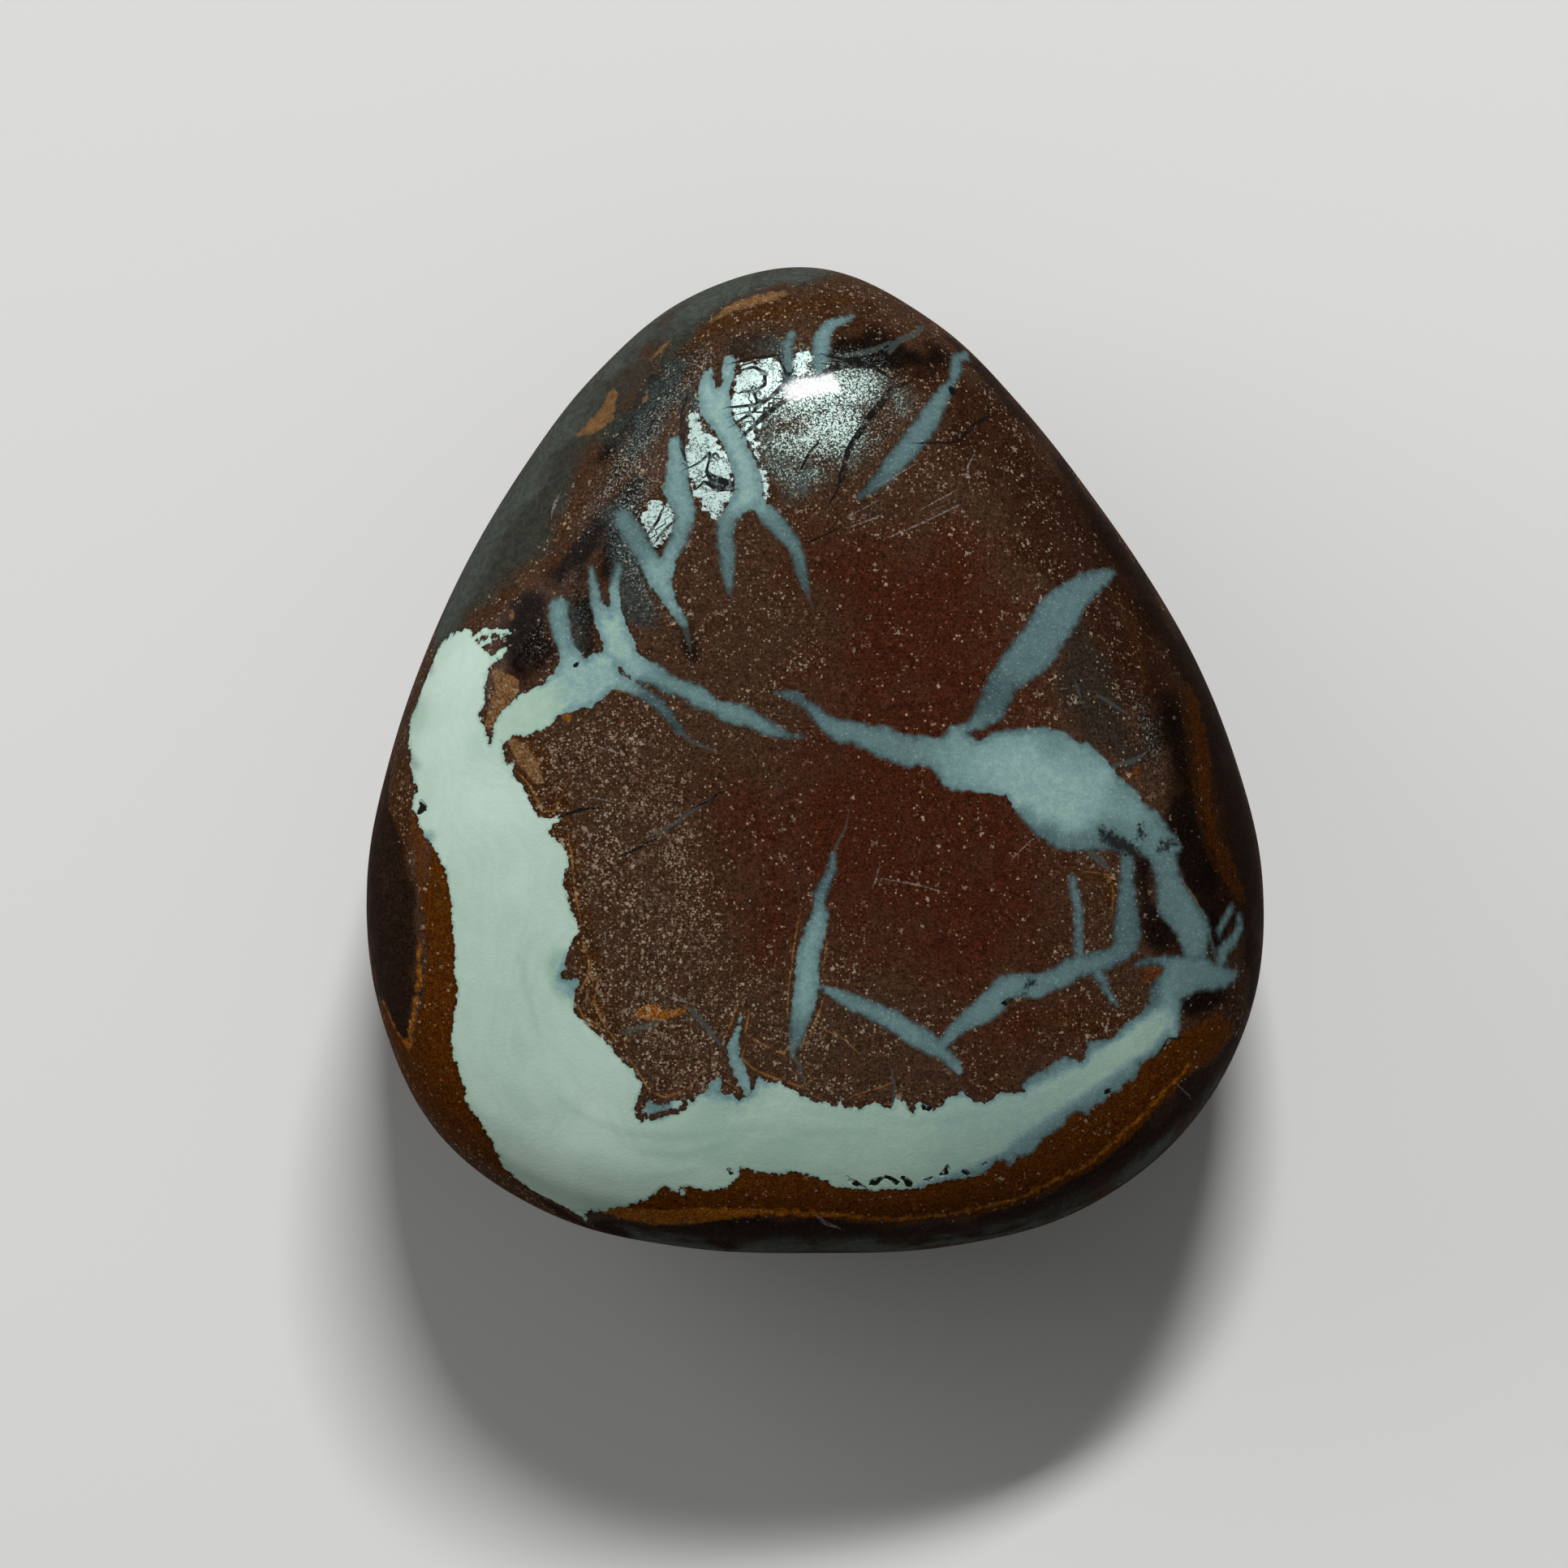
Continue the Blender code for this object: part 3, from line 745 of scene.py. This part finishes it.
class CadSurface:
    """The surface of the CAD solid, with its facets rounded off."""

    def __init__(self, node):
        solid = bmesh.new()
        solid.from_mesh(node.data)
        bmesh.ops.scale(solid, vec=(1 / MM,) * 3, verts=solid.verts)
        bmesh.ops.remove_doubles(solid, verts=solid.verts, dist=SAME_PLACE)
        bmesh.ops.triangulate(solid, faces=solid.faces)
        solid.normal_update()
        self.places = np.array([vertex.co for vertex in solid.verts])
        self.normals = np.array([vertex.normal for vertex in solid.verts])
        self.faces = np.array([[vertex.index for vertex in face.verts] for face in solid.faces])
        self.tree = BVHTree.FromBMesh(solid)
        solid.free()

    def rounded(self, directions):
        """The points of the surface that lie in some directions from the middle of the widest level."""
        middle = Vector((0.0, 0.0, WIDEST_LEVEL))
        hits = [self.tree.ray_cast(middle, Vector(direction)) for direction in directions]
        points = np.array([hit[0] for hit in hits])
        corners = self.faces[[hit[2] for hit in hits]]
        a, b, c = (self.places[corners[:, step]] for step in range(3))
        normal = np.cross(b - a, c - a)
        first = dots(np.cross(c - b, points - b), normal) / dots(normal, normal)
        second = dots(np.cross(a - c, points - c), normal) / dots(normal, normal)
        lifted = np.zeros_like(points)
        for step, share in enumerate((first, second, 1 - first - second)):
            facing = self.normals[corners[:, step]]
            above = dots(points - self.places[corners[:, step]], facing)
            lifted += share[:, None] * (points - above[:, None] * facing)
        return points + ROUNDING * (lifted - points)


def directions_at(azimuths, polar_angle):
    flat = math.sin(polar_angle)
    up = np.full(len(azimuths), math.cos(polar_angle))
    return np.column_stack((np.cos(azimuths) * flat, np.sin(azimuths) * flat, up))


def ring_plan(surface):
    """The polar angle and the number of points of each ring of the mesh, from the top to the bottom."""
    polar_angles = np.linspace(0, math.pi, PROFILE_STEPS)
    azimuths = np.linspace(0, 2 * math.pi, PROFILE_SIDES, endpoint=False)
    profiles = np.array([surface.rounded(directions_at(azimuths, angle)) for angle in polar_angles])
    radius = np.hypot(profiles[:, :, 0], profiles[:, :, 1]).mean(axis=1)
    height = profiles[:, :, 2].mean(axis=1)
    steps = np.hypot(np.diff(radius), np.diff(height))
    along = np.concatenate(([0], np.cumsum(steps)))
    rim = along[radius.argmax()]
    rings = []
    place = FACE_SPACING
    while place < along[-1] - BACK_SPACING / 2:
        past_rim = min(max((place - rim - COARSER_FROM) / COARSER_OVER, 0.0), 1.0)
        spacing = FACE_SPACING + (BACK_SPACING - FACE_SPACING) * past_rim
        angle = np.interp(place, along, polar_angles)
        count = round(2 * math.pi * np.interp(place, along, radius) / spacing)
        rings.append((angle, max(count, 6)))
        place += spacing * RING_GAP
    return rings


def zip_rings(upper, lower):
    """Triangles between two rings of points, each given by its first index and its count."""
    triangles = []
    for (start, count), (far_start, far_count), side in ((upper, lower, "right"), (lower, upper, "left")):
        first = np.arange(count)
        second = (first + 1) % count
        own = (first + 0.5) / count
        far = (np.arange(far_count) + 0.5) / far_count
        apex = far_start + np.searchsorted(far, own, side=side) % far_count
        ends = (first, second) if side == "right" else (second, first)
        triangles.append(np.column_stack((start + ends[0], apex, start + ends[1])))
    return np.concatenate(triangles)


def fan(centre, ring, upward):
    """Triangles between one point and the ring round it."""
    start, count = ring
    first = np.arange(count)
    second = (first + 1) % count
    order = (first, second) if upward else (second, first)
    return np.column_stack((np.full(count, centre), start + order[0], start + order[1]))


def make_points_and_triangles(surface):
    directions = [np.array([[0.0, 0.0, 1.0]])]
    triangles = []
    before = None
    filled = 1
    for angle, count in ring_plan(surface):
        azimuths = np.arange(count) / count * 2 * math.pi
        directions.append(directions_at(azimuths, angle))
        ring = (filled, count)
        triangles.append(zip_rings(before, ring) if before else fan(0, ring, True))
        before = ring
        filled += count
    directions.append(np.array([[0.0, 0.0, -1.0]]))
    triangles.append(fan(filled, before, False))
    points = surface.rounded(np.concatenate(directions))
    return points, np.concatenate(triangles)


def smoothed(points, triangles):
    """Moves each point halfway to the middle of its neighbours, a few times over."""
    own, other = np.concatenate((triangles[:, [0, 1]], triangles[:, [1, 2]], triangles[:, [2, 0]])).T
    neighbours = np.bincount(own, minlength=len(points))
    for turn in range(SMOOTHING_ROUNDS):
        sums = [np.bincount(own, weights=axis[other], minlength=len(points)) for axis in points.T]
        points = (points + np.column_stack(sums) / neighbours[:, None]) / 2
    return points


def distance_to(places, start, end):
    """The distance from places to a straight stretch, how far along it is, and on which side."""
    stretch = end - start
    offset = places - start
    along = np.clip(offset @ stretch / (stretch @ stretch), 0, 1)
    gap = offset - along[:, None] * stretch
    side = np.sign(offset[:, 1] * stretch[0] - offset[:, 0] * stretch[1])
    return np.hypot(gap[:, 0], gap[:, 1]), along, side


def inside_outline(places, outline):
    """How far places lie inside a closed outline, in pixels: negative outside."""
    corners = np.array(outline, float)
    nearest = np.full(len(places), np.inf)
    inside = np.zeros(len(places), bool)
    x, y = places.T
    for start, end in zip(corners, np.roll(corners, -1, axis=0)):
        nearest = np.minimum(nearest, distance_to(places, start, end)[0])
        if start[1] != end[1]:
            meeting = start[0] + (y - start[1]) * (end[0] - start[0]) / (end[1] - start[1])
            inside ^= ((start[1] > y) != (end[1] > y)) & (x < meeting)
    return np.where(inside, nearest, -nearest)


def inside_outlines(places, outlines):
    """How far places lie inside the nearest of some outlines, in pixels."""
    return np.max([inside_outline(places, outline) for outline in outlines], axis=0)


def stretches(places, strokes):
    """For each straight stretch of some strokes: the distance, the side, and half of the width there."""
    for stroke in strokes:
        ends = np.array(stroke, float)
        for first, second in zip(ends, ends[1:]):
            distance, along, side = distance_to(places, first[:2], second[:2])
            yield distance, side, (first[2] + (second[2] - first[2]) * along) / 2


def inside_strokes(places, strokes):
    """How far places lie inside the nearest of some strokes, in pixels."""
    deepest = np.full(len(places), -np.inf)
    for distance, side, half_width in stretches(places, strokes):
        deepest = np.maximum(deepest, half_width - distance)
    return deepest


def line_fields(places, lines):
    """The offset from the nearest thin line, with its side as the sign, and half of its width there."""
    widest = max(point[2] for line in lines for point in line) / 2
    nearest = np.full(len(places), np.inf)
    offsets = np.full(len(places), np.inf)
    half_widths = np.zeros(len(places))
    for distance, side, half_width in stretches(places, lines):
        closer = distance < nearest
        nearest = np.where(closer, distance, nearest)
        offsets = np.where(closer, distance * side, offsets)
        half_widths = np.where(closer, half_width, half_widths)
    half_widths[nearest > widest + LINE_REACH] = 0.0
    return np.clip(offsets, -FAR_OUTSIDE, FAR_OUTSIDE), half_widths


def soft(values, fade):
    """Turns depths into weights from 0 to 1, which rise over a distance on both sides of the edge."""
    share = np.clip(values / fade * 0.5 + 0.5, 0, 1)
    return share * share * (3 - 2 * share)


def milkiness(places):
    """The milkiness at each place, from the spots round it. Far from all of them it is 0.5."""
    weighted = np.full(len(places), 0.5 * FAINTEST)
    total = np.full(len(places), FAINTEST)
    for x, y, reach, milk in MILK_SPOTS:
        near = np.exp(-((places[:, 0] - x) ** 2 + (places[:, 1] - y) ** 2) / (2 * reach**2)) / reach
        weighted += near * milk
        total += near
    return weighted / total


def clouds(points, per_mm, layers):
    """Slow noise from about -1 to 1, finer and fainter in each layer."""
    total = np.zeros(len(points))
    for layer in range(layers):
        finer = 2.0**layer
        places = points * (per_mm * finer) + LAYER_SHIFT * layer
        total += np.array([noise.noise(place) for place in places]) * CLOUD_STRENGTH / finer
    return total


def share_of_rim(places, points):
    """How far out each place lies, as a share of the rim's radius in its direction."""
    offset = places - PEBBLE_MIDDLE
    bearing = np.arctan2(offset[:, 1], offset[:, 0])
    radius = np.hypot(offset[:, 0], offset[:, 1])
    at_rim = np.abs(points[:, 2] - WIDEST_LEVEL) < RIM_BELT
    order = np.argsort(bearing[at_rim])
    return radius / np.interp(bearing, bearing[at_rim][order], radius[at_rim][order], period=2 * math.pi)


def wandered(places, points, share):
    """The places, with those on the side walls moved by noise, so that the pattern doesn't run straight."""
    offset = places - PEBBLE_MIDDLE
    outward = offset / np.hypot(offset[:, 0], offset[:, 1])[:, None]
    sideways = np.column_stack((-outward[:, 1], outward[:, 0]))
    height = points[:, 2]
    wall = np.where(height < WIDEST_LEVEL, height / WIDEST_LEVEL, soft(share - WALL_MIDDLE, WALL_FADE))
    outward_move = wall * OUTWARD_WANDER * np.abs(clouds(points, OUTWARD_CLOUDS_PER_MM, 2))
    sideways_move = wall * SIDEWAYS_WANDER * clouds(points + CLOUD_OFFSET, SIDEWAYS_CLOUDS_PER_MM, 2)
    return places + outward * outward_move[:, None] + sideways * sideways_move[:, None]


def opal_fields(places, face, back):
    """How deep inside the opal each place lies, in mm, and how milky the opal is there."""
    band = inside_outline(places, MINT_BAND)
    veins = np.maximum(inside_outlines(places, VEIN_OUTLINES), inside_strokes(places, VEIN_STROKES))
    face_opal = np.minimum(np.maximum(band, veins), -inside_strokes(places, CHANNEL_STROKES))
    back_opal = inside_strokes(places, BACK_OPAL_STROKES)
    milk = milkiness(places)
    milk += np.maximum(LOBE_MILK - milk, 0) * soft(inside_outline(places, LOBE_OUTLINE), LOBE_FADE)
    heart = soft(inside_strokes(places, (MILKY_HEART,)) + 4, HEART_FADE)
    knot = soft(inside_outline(places, MINT_KNOT_EDGE), KNOT_FADE)
    margin = soft(places[:, 0] - CLEAR_MARGIN_START, MARGIN_FADE) * soft(band + BAND_FADE, BAND_FADE)
    milk -= CLEAR_MARGIN_LOSS * margin * (1 - heart) * (1 - knot)
    back_milk = BACK_MILK[0] + np.clip(back_opal / BACK_MILK_DEPTH, 0, BACK_MILK[1])
    opal = (face_opal * face + back_opal * back) * MM_PER_PIXEL
    return {"opal": opal, "milk": milk * face + back_milk * back}


def pebble_fields(points):
    """What the material needs to know at each point of the pebble, by name."""
    places = to_photo(points)
    share = share_of_rim(places, points)
    places = wandered(places, points, share)
    face = soft(points[:, 2] - WIDEST_LEVEL + FACE_FADE, FACE_FADE)
    back = 1 - face
    slow = clouds(points, SLOW_CLOUDS_PER_MM, 2)
    upper = soft(points[:, 2] - ZONES_END + slow, ZONES_FADE)
    fields = {"slow": slow, "mottle": clouds(points, MOTTLE_PER_MM, 3), **opal_fields(places, face, back)}

    ring = (BACK_RING_WIDTH / 2 - np.abs(share - BACK_RING)) * RING_RADIUS
    face_ochre = inside_outlines(places, OCHRE_OUTLINES) * MM_PER_PIXEL
    fields["ochre"] = np.clip(face_ochre, -1, 1) * face + np.clip(ring, -1, 1) * back
    for name, (strokes, fade) in SOFT_STROKES.items():
        fields[name] = soft(inside_strokes(places, strokes), fade) * upper
    fields["umber"] = np.maximum(fields["umber"], SIDE_UMBER * (1 - upper))
    fields["rim"] += back * soft(share - DARK_BACK, SHARE_FADE) * SIDE_RIM
    fields["worn"] = np.maximum(soft(share - WORN_RIM, WORN_FADE), back)
    # The smooth zones lose their grain and carry a painted grey-green reflection, paler at their outer
    # edge.
    fields["smooth"] = soft(inside_outlines(places, PAINTED_REFLECTION_OUTLINES), PAINTED_REFLECTION_FADE) * upper
    fields["painted_edge_reflection"] = fields["smooth"] * soft(share - PAINTED_EDGE_REFLECTION_RIM, SHARE_FADE)
    depths = {"plates": inside_outlines(places, PLATE_OUTLINES)}
    depths["pit"] = inside_strokes(places, PITS)
    depths["gap"] = inside_strokes(places, GAP_STROKES)
    for name, depth in depths.items():
        fields[name] = (depth * face - FAR_OUTSIDE * back) * MM_PER_PIXEL
    for name, lines in THIN_LINES.items():
        offsets, half_widths = line_fields(places, lines)
        fields[name + "_offset"] = offsets * MM_PER_PIXEL
        fields[name + "_width"] = half_widths * face * MM_PER_PIXEL
    return fields


class Value:
    """What a node puts out. Sums, products and steps of it add more nodes to the same material."""

    def __init__(self, shader, socket):
        self.shader = shader
        self.socket = socket

    def __add__(self, other):
        return self.shader.math("ADD", self, other)

    def __sub__(self, other):
        return self.shader.math("SUBTRACT", self, other)

    def __rsub__(self, other):
        return self.shader.math("SUBTRACT", other, self)

    def __mul__(self, other):
        return self.shader.math("MULTIPLY", self, other)

    def or_larger(self, other):
        return self.shader.math("MAXIMUM", self, other)

    def rise(self, low, high, bottom=0.0, top=1.0):
        """A smooth step from bottom to top while the value goes from low to high."""
        limits = (self, low, high, bottom, top)
        return self.shader.value("MapRange", dict(enumerate(limits)), interpolation_type="SMOOTHSTEP")

    def swing(self, reach):
        """Turns a noise into a number from minus to plus the reach."""
        return self.rise(0.25, 0.75, -reach, reach)


class Shader:
    """One material, with short calls that add nodes to it and wire them up."""

    def __init__(self, name):
        self.material = bpy.data.materials.new(name)
        self.material.use_nodes = True
        self.tree = self.material.node_tree
        self.surface = self.tree.nodes["Principled BSDF"]
        place = self.value("TexCoord", {}, "Object")
        self.place = self.value("VectorMath", {0: place, "Scale": 1 / MM}, operation="SCALE")

    def feed(self, node, inputs):
        """Gives a node its inputs, by the name or the number of each socket."""
        for name, value in inputs.items():
            if isinstance(value, Value):
                self.tree.links.new(value.socket, node.inputs[name])
            else:
                node.inputs[name].default_value = value

    def node(self, kind, inputs, **settings):
        node = self.tree.nodes.new("ShaderNode" + kind)
        for name, setting in settings.items():
            setattr(node, name, setting)
        self.feed(node, inputs)
        return node

    def value(self, kind, inputs, output=0, **settings):
        return Value(self, self.node(kind, inputs, **settings).outputs[output])

    def math(self, operation, *values):
        return self.value("Math", dict(enumerate(values)), operation=operation)

    def field(self, name):
        return self.value("Attribute", {}, "Fac", attribute_name=name)

    def noise(self, per_mm, detail, roughness=0.5, place=None, **settings):
        inputs = {"Vector": place or self.place, "Scale": per_mm, "Detail": detail, "Roughness": roughness}
        return self.value("TexNoise", inputs, "Fac", **settings)

    def specks(self, per_mm, density, sizes, wobble):
        """Specks of mixed size and brightness. The density is the share of the cells that hold one."""
        cells = self.node("TexVoronoi", {"Vector": self.place, "Scale": per_mm})
        distance, chances = (Value(self, cells.outputs[name]) for name in ("Distance", "Color"))
        parts = self.node("SeparateColor", {0: chances})
        chance, size, light = (Value(self, output) for output in parts.outputs[:3])
        depth = size.rise(0.0, 1.0, *sizes) - (distance + wobble)
        present = (density - chance).rise(0.0, 0.04)
        return depth.rise(-0.04, 0.1) * present * (self.math("POWER", light, 1.8) * 0.85 + 0.15)

    def mix(self, weight, first, second, blend="MIX"):
        inputs = {MIX_WEIGHT: weight, MIX_FIRST: first, MIX_SECOND: second}
        return self.value("Mix", inputs, MIX_RESULT, data_type="RGBA", blend_type=blend, clamp_factor=True)

    def ramp(self, value, stops):
        node = self.node("ValToRGB", {0: value})
        band = node.color_ramp.elements
        while len(band) < len(stops):
            band.new(1.0)
        for element, (place, stop_colour) in zip(band, stops):
            element.position = place
            element.color = stop_colour
        return Value(self, node.outputs[0])

    def shaded(self, base, shade):
        """A colour made lighter or darker by a number."""
        return self.mix(1.0, base, self.value("CombineColor", {0: shade, 1: shade, 2: shade}), "MULTIPLY")

    def line(self, name, soft_edge=0.02):
        """The mask of a group of thin lines."""
        depth = self.field(name + "_width") - self.math("ABSOLUTE", self.field(name + "_offset"))
        return depth.rise(-soft_edge * 0.3, soft_edge)


def opal_colour(shader, inside, ragged, milk):
    """Blue to mint, paler towards the middle of a vein, with a fine grain and slow flow lines."""
    slow = shader.field("slow")
    blueness = milk.rise(0.75, 0.92, 1.0, 0.12)
    margin = inside.rise(0.0, blueness.rise(0.12, 1.0, 0.1, 0.26))
    thin = blueness.rise(0.12, 1.0, 0.1, 0.25) * (1.0 - margin)
    grain = shader.noise(OPAL_GRAIN_PER_MM, 2.0, 0.7)
    depth = milk * (1.0 - thin) + slow * 0.03
    depth += (grain.swing(0.04) + ragged.swing(0.045)) * blueness
    flow_place = shader.value("CombineXYZ", {0: shader.field("opal") * 1.4, 1: slow * 1.2})
    flow = shader.noise(1.6, 2.0, 0.6, flow_place, noise_dimensions="2D")
    depth += flow.rise(0.3, 0.7, -0.014, 0.012) - shader.field("fold") * 0.07
    base = shader.ramp(depth, OPAL_COLOURS)
    base = shader.mix(shader.field("smudge") * 0.8, base, SMUDGE)
    glints = shader.noise(GLINTS_PER_MM, 1.0).rise(0.6, 0.74) * blueness
    base = shader.mix(glints * 0.22, base, GLINT)
    gap = shader.field("gap") + ragged.swing(0.1) + grain.rise(0.3, 0.7, -0.08, 0.08)
    return shader.mix(gap.rise(-0.14, 0.1, 0.0, 0.96), base, GAP)


def speck_density(shader, mottle, ochre):
    """The share of the cells that hold a pale speck, in each kind of stone."""
    density = shader.field("dense") * 0.62 + shader.field("frost") * 0.18
    density += shader.field("maroon").rise(0.0, 1.0, 0.22, 0.08)
    density *= mottle.rise(-0.5, 0.5, 0.55, 1.4)
    density *= shader.field("smooth").or_larger(shader.field("rim")).rise(0.0, 0.8, 1.0, 0.0)
    grey = shader.field("smoke").or_larger(shader.field("ashen"))
    dark = shader.field("dark")
    # fewer specks show under the painted shade at the right margin
    for zone, left_over in ((grey, 0.35), (dark, 0.15), (shader.field("right_shade"), 0.5), (ochre, 0.4)):
        density *= zone.rise(0.0, 1.0, 1.0, left_over)
    return density


def stone_colour(shader, inside, grain, ragged):
    """Brown to maroon ironstone with its zones, orange threads and pale specks."""
    mottle = shader.field("mottle")
    base = shader.mix(shader.field("maroon") + mottle * 0.3, BROWN, MAROON)
    for name, tint, strength in STONE_ZONES:
        zone = shader.field(name)
        weight = zone + mottle * 0.3 * zone.rise(0.0, 0.4)
        base = shader.mix(weight.rise(0.15, 0.85) * strength, base, tint)
    ochre = (shader.field("ochre") + ragged.swing(0.05)).rise(-0.02, 0.05)
    base = shader.mix(ochre, base, OCHRE)
    for name, tint in RAGGED_PATCHES:
        weight = (shader.field(name) + (ragged - 0.5)).rise(0.25, 0.7)
        base = shader.mix(weight * 0.9, base, tint)
    base = shader.mix(inside.rise(-0.07, -0.01, 0.0, 0.45), base, DARK)
    unevenness = shader.field("smooth").rise(0.0, 1.0, 0.58, 0.15)
    shade = grain.rise(0.28, 0.72, 1.0 - unevenness, unevenness + 1.0)
    base = shader.shaded(base, shade * ragged.rise(0.25, 0.75, 0.72, 1.22))
    base = shader.mix(shader.line("thread") * ragged.rise(0.36, 0.56, 0.1, 0.8), base, THREAD)
    base = shader.mix(grain.rise(0.5, 0.64) * shader.field("frost") * 0.42, base, FROST)

    density = speck_density(shader, mottle, ochre)
    wobble = grain.rise(0.3, 0.7, 0.3, -0.2) + ragged.rise(0.3, 0.7, 0.14, -0.14)
    specks = None
    for per_mm, crowding, sizes, raggedness in SPECK_KINDS:
        kind = shader.specks(per_mm, density * crowding, sizes, wobble * raggedness)
        specks = kind.or_larger(specks) if specks else kind
    base = shader.mix(specks, base, SPECK)
    # painted shade over the right margin
    base = shader.mix(shader.field("right_shade") * 0.6, base, PAINTED_SHADE)
    return shader.mix(shader.line("faint", 0.05) * 0.55, base, FAINT)


def silver_and_highlight_cover(shader, plates, grain, ragged):
    """Where worn, metallic ironstone shows: whole plates, and a fine speckle round the highlight, denser
    near it. Their pale colour is partly a painted highlight.
    """
    fine = grain * 0.5 + shader.noise(SILVER_GRAIN_PER_MM, 1.0) * 0.5
    plates *= (fine + (ragged - 0.5) * 0.5).rise(0.385, 0.515, 0.0, 0.96)
    painted_highlight_sheen = shader.field("painted_highlight_sheen").or_larger(shader.field("frost") * 0.5)
    start = painted_highlight_sheen.rise(0.0, 1.0, 0.64, 0.42)
    speckle = fine.rise(start, start + 0.14) * painted_highlight_sheen.rise(0.0, 0.8, 0.0, 0.9)
    return plates.or_larger(speckle)


def make_material():
    shader = Shader("koroit_boulder_opal")
    ragged = shader.noise(RAGGED_PER_MM, 3.0, 0.6)
    grain = shader.noise(GRAIN_PER_MM, 2.0, 0.65)
    milk = shader.field("milk")
    inside = shader.field("opal") + ragged.swing(1.0) * milk.rise(0.5, 0.85, 0.035, 0.055)
    edge = milk.rise(0.4, 0.85, 0.1, 0.014)
    opal = inside.rise(edge * -1.0, edge)
    stone = stone_colour(shader, inside, grain, ragged)
    base = shader.mix(opal, stone, opal_colour(shader, inside, ragged, milk))

    pit = (shader.field("pit") + ragged.swing(0.04)).rise(-0.01, 0.02)
    crack_line = shader.line("crack")
    open_grain = pit.or_larger(crack_line * ragged.rise(0.38, 0.55, 0.35, 0.95))
    plates = (shader.field("plates") + ragged.swing(0.13)).rise(-0.02, 0.02) * (1.0 - opal)
    base = shader.mix(plates * 0.85, base, PLATE_GROUND)
    # the silver and its painted highlight, mixed into the colour and the metal
    silver_and_highlight = silver_and_highlight_cover(shader, plates, grain, ragged) * (1.0 - opal.or_larger(open_grain))
    base = shader.mix(silver_and_highlight, base, PALE_SILVER_AND_HIGHLIGHT)
    base = shader.mix(open_grain, base, CRACK)
    scratch = shader.line("scratch", 0.015) * grain.rise(0.42, 0.6, 0.15, 0.7)
    base = shader.mix(scratch, base, SCRATCH)

    coat = shader.field("worn").rise(0.0, 1.0, COAT, WORN_COAT)
    stone_roughness = grain.rise(0.3, 0.7, *STONE_ROUGHNESS)
    roughness = opal.rise(0.0, 1.0, stone_roughness, OPAL_ROUGHNESS)
    sunken = crack_line.or_larger(shader.field("pit").rise(-0.02, 0.02))
    relief = sunken * -CRACK_DEPTH + shader.field("opal").rise(-0.03, 0.03, 0.0, OPAL_STEP)
    relief += shader.noise(RELIEF_PER_MM, 1.0) * GRAIN_RELIEF
    shader.feed(shader.surface, {
        "Base Color": base,
        "Metallic": silver_and_highlight * SILVER_METALLIC,
        "Roughness": roughness.or_larger(open_grain * OPEN_GRAIN_ROUGHNESS),
        "IOR": STONE_IOR,
        "Specular IOR Level": 0.0,
        "Coat Weight": coat * shader.field("dark").rise(0.0, 1.0, 1.0, DARK_COAT_SHARE),
        "Coat Roughness": COAT_ROUGHNESS,
        "Normal": shader.value("Bump", {"Height": relief, "Distance": MM, "Strength": 1.0}),
    })
    return shader.material


def make_pebble(node):
    points, triangles = make_points_and_triangles(CadSurface(node))
    points = smoothed(points, triangles)
    points[:, 2] = np.maximum(points[:, 2], 0.0)
    mesh = bpy.data.meshes.new("opal_stone_surface")
    mesh.from_pydata((points * MM).tolist(), [], triangles.tolist())
    for name, values in pebble_fields(points).items():
        attribute = mesh.attributes.new(name, "FLOAT", "POINT")
        attribute.data.foreach_set("value", values.astype(np.float32))
    mesh.shade_smooth()
    mesh.materials.append(make_material())
    pebble = bpy.data.objects.new("opal_stone_surface", mesh)
    bpy.context.scene.collection.objects.link(pebble)
    return pebble


def add_floor():
    mesh = bpy.data.meshes.new("floor")
    corners = [(x * FLOOR_REACH, y * FLOOR_REACH, 0.0) for x, y in ((-1, -1), (1, -1), (1, 1), (-1, 1))]
    mesh.from_pydata(corners, [], [(0, 1, 2, 3)])
    shader = Shader("floor")
    shader.feed(shader.surface, {"Base Color": FLOOR_COLOUR, "Roughness": FLOOR_ROUGHNESS})
    mesh.materials.append(shader.material)
    floor = bpy.data.objects.new("floor", mesh)
    bpy.context.scene.collection.objects.link(floor)


def add_softbox(name, azimuth, elevation, distance, size, power, roll=0.0):
    """A flat light that faces the pebble. Azimuth is in degrees from +X towards +Y."""
    turn = math.radians(azimuth)
    rise = math.radians(elevation)
    flat = distance * math.cos(rise)
    offset = Vector((flat * math.cos(turn), flat * math.sin(turn), distance * math.sin(rise)))
    data = bpy.data.lights.new(name, "AREA")
    data.shape = "RECTANGLE"
    data.size = size[0] * MM
    data.size_y = size[1] * MM
    data.energy = power
    light = bpy.data.objects.new(name, data)
    light.location = (Vector((0.0, 0.0, FACE_LEVEL)) + offset) * MM
    facing = offset.to_track_quat("Z", "Y") @ Quaternion((0, 0, 1), math.radians(roll))
    light.rotation_euler = facing.to_euler()
    bpy.context.scene.collection.objects.link(light)


def add_lights():
    add_softbox("key", azimuth=85, elevation=49, distance=600, size=(170, 50), power=3.4, roll=25.0)
    add_softbox("fill", azimuth=155, elevation=25, distance=700, size=(500, 400), power=1.1)
    world = bpy.data.worlds.new("studio")
    world.use_nodes = True
    world.node_tree.nodes["Background"].inputs["Color"].default_value = STUDIO_COLOUR
    bpy.context.scene.world = world
    bpy.context.scene.view_settings.view_transform = "Standard"


add_camera()
pebble = make_pebble(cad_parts[NODE])
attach(pebble, BODY)
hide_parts(NODE)
add_floor()
add_lights()
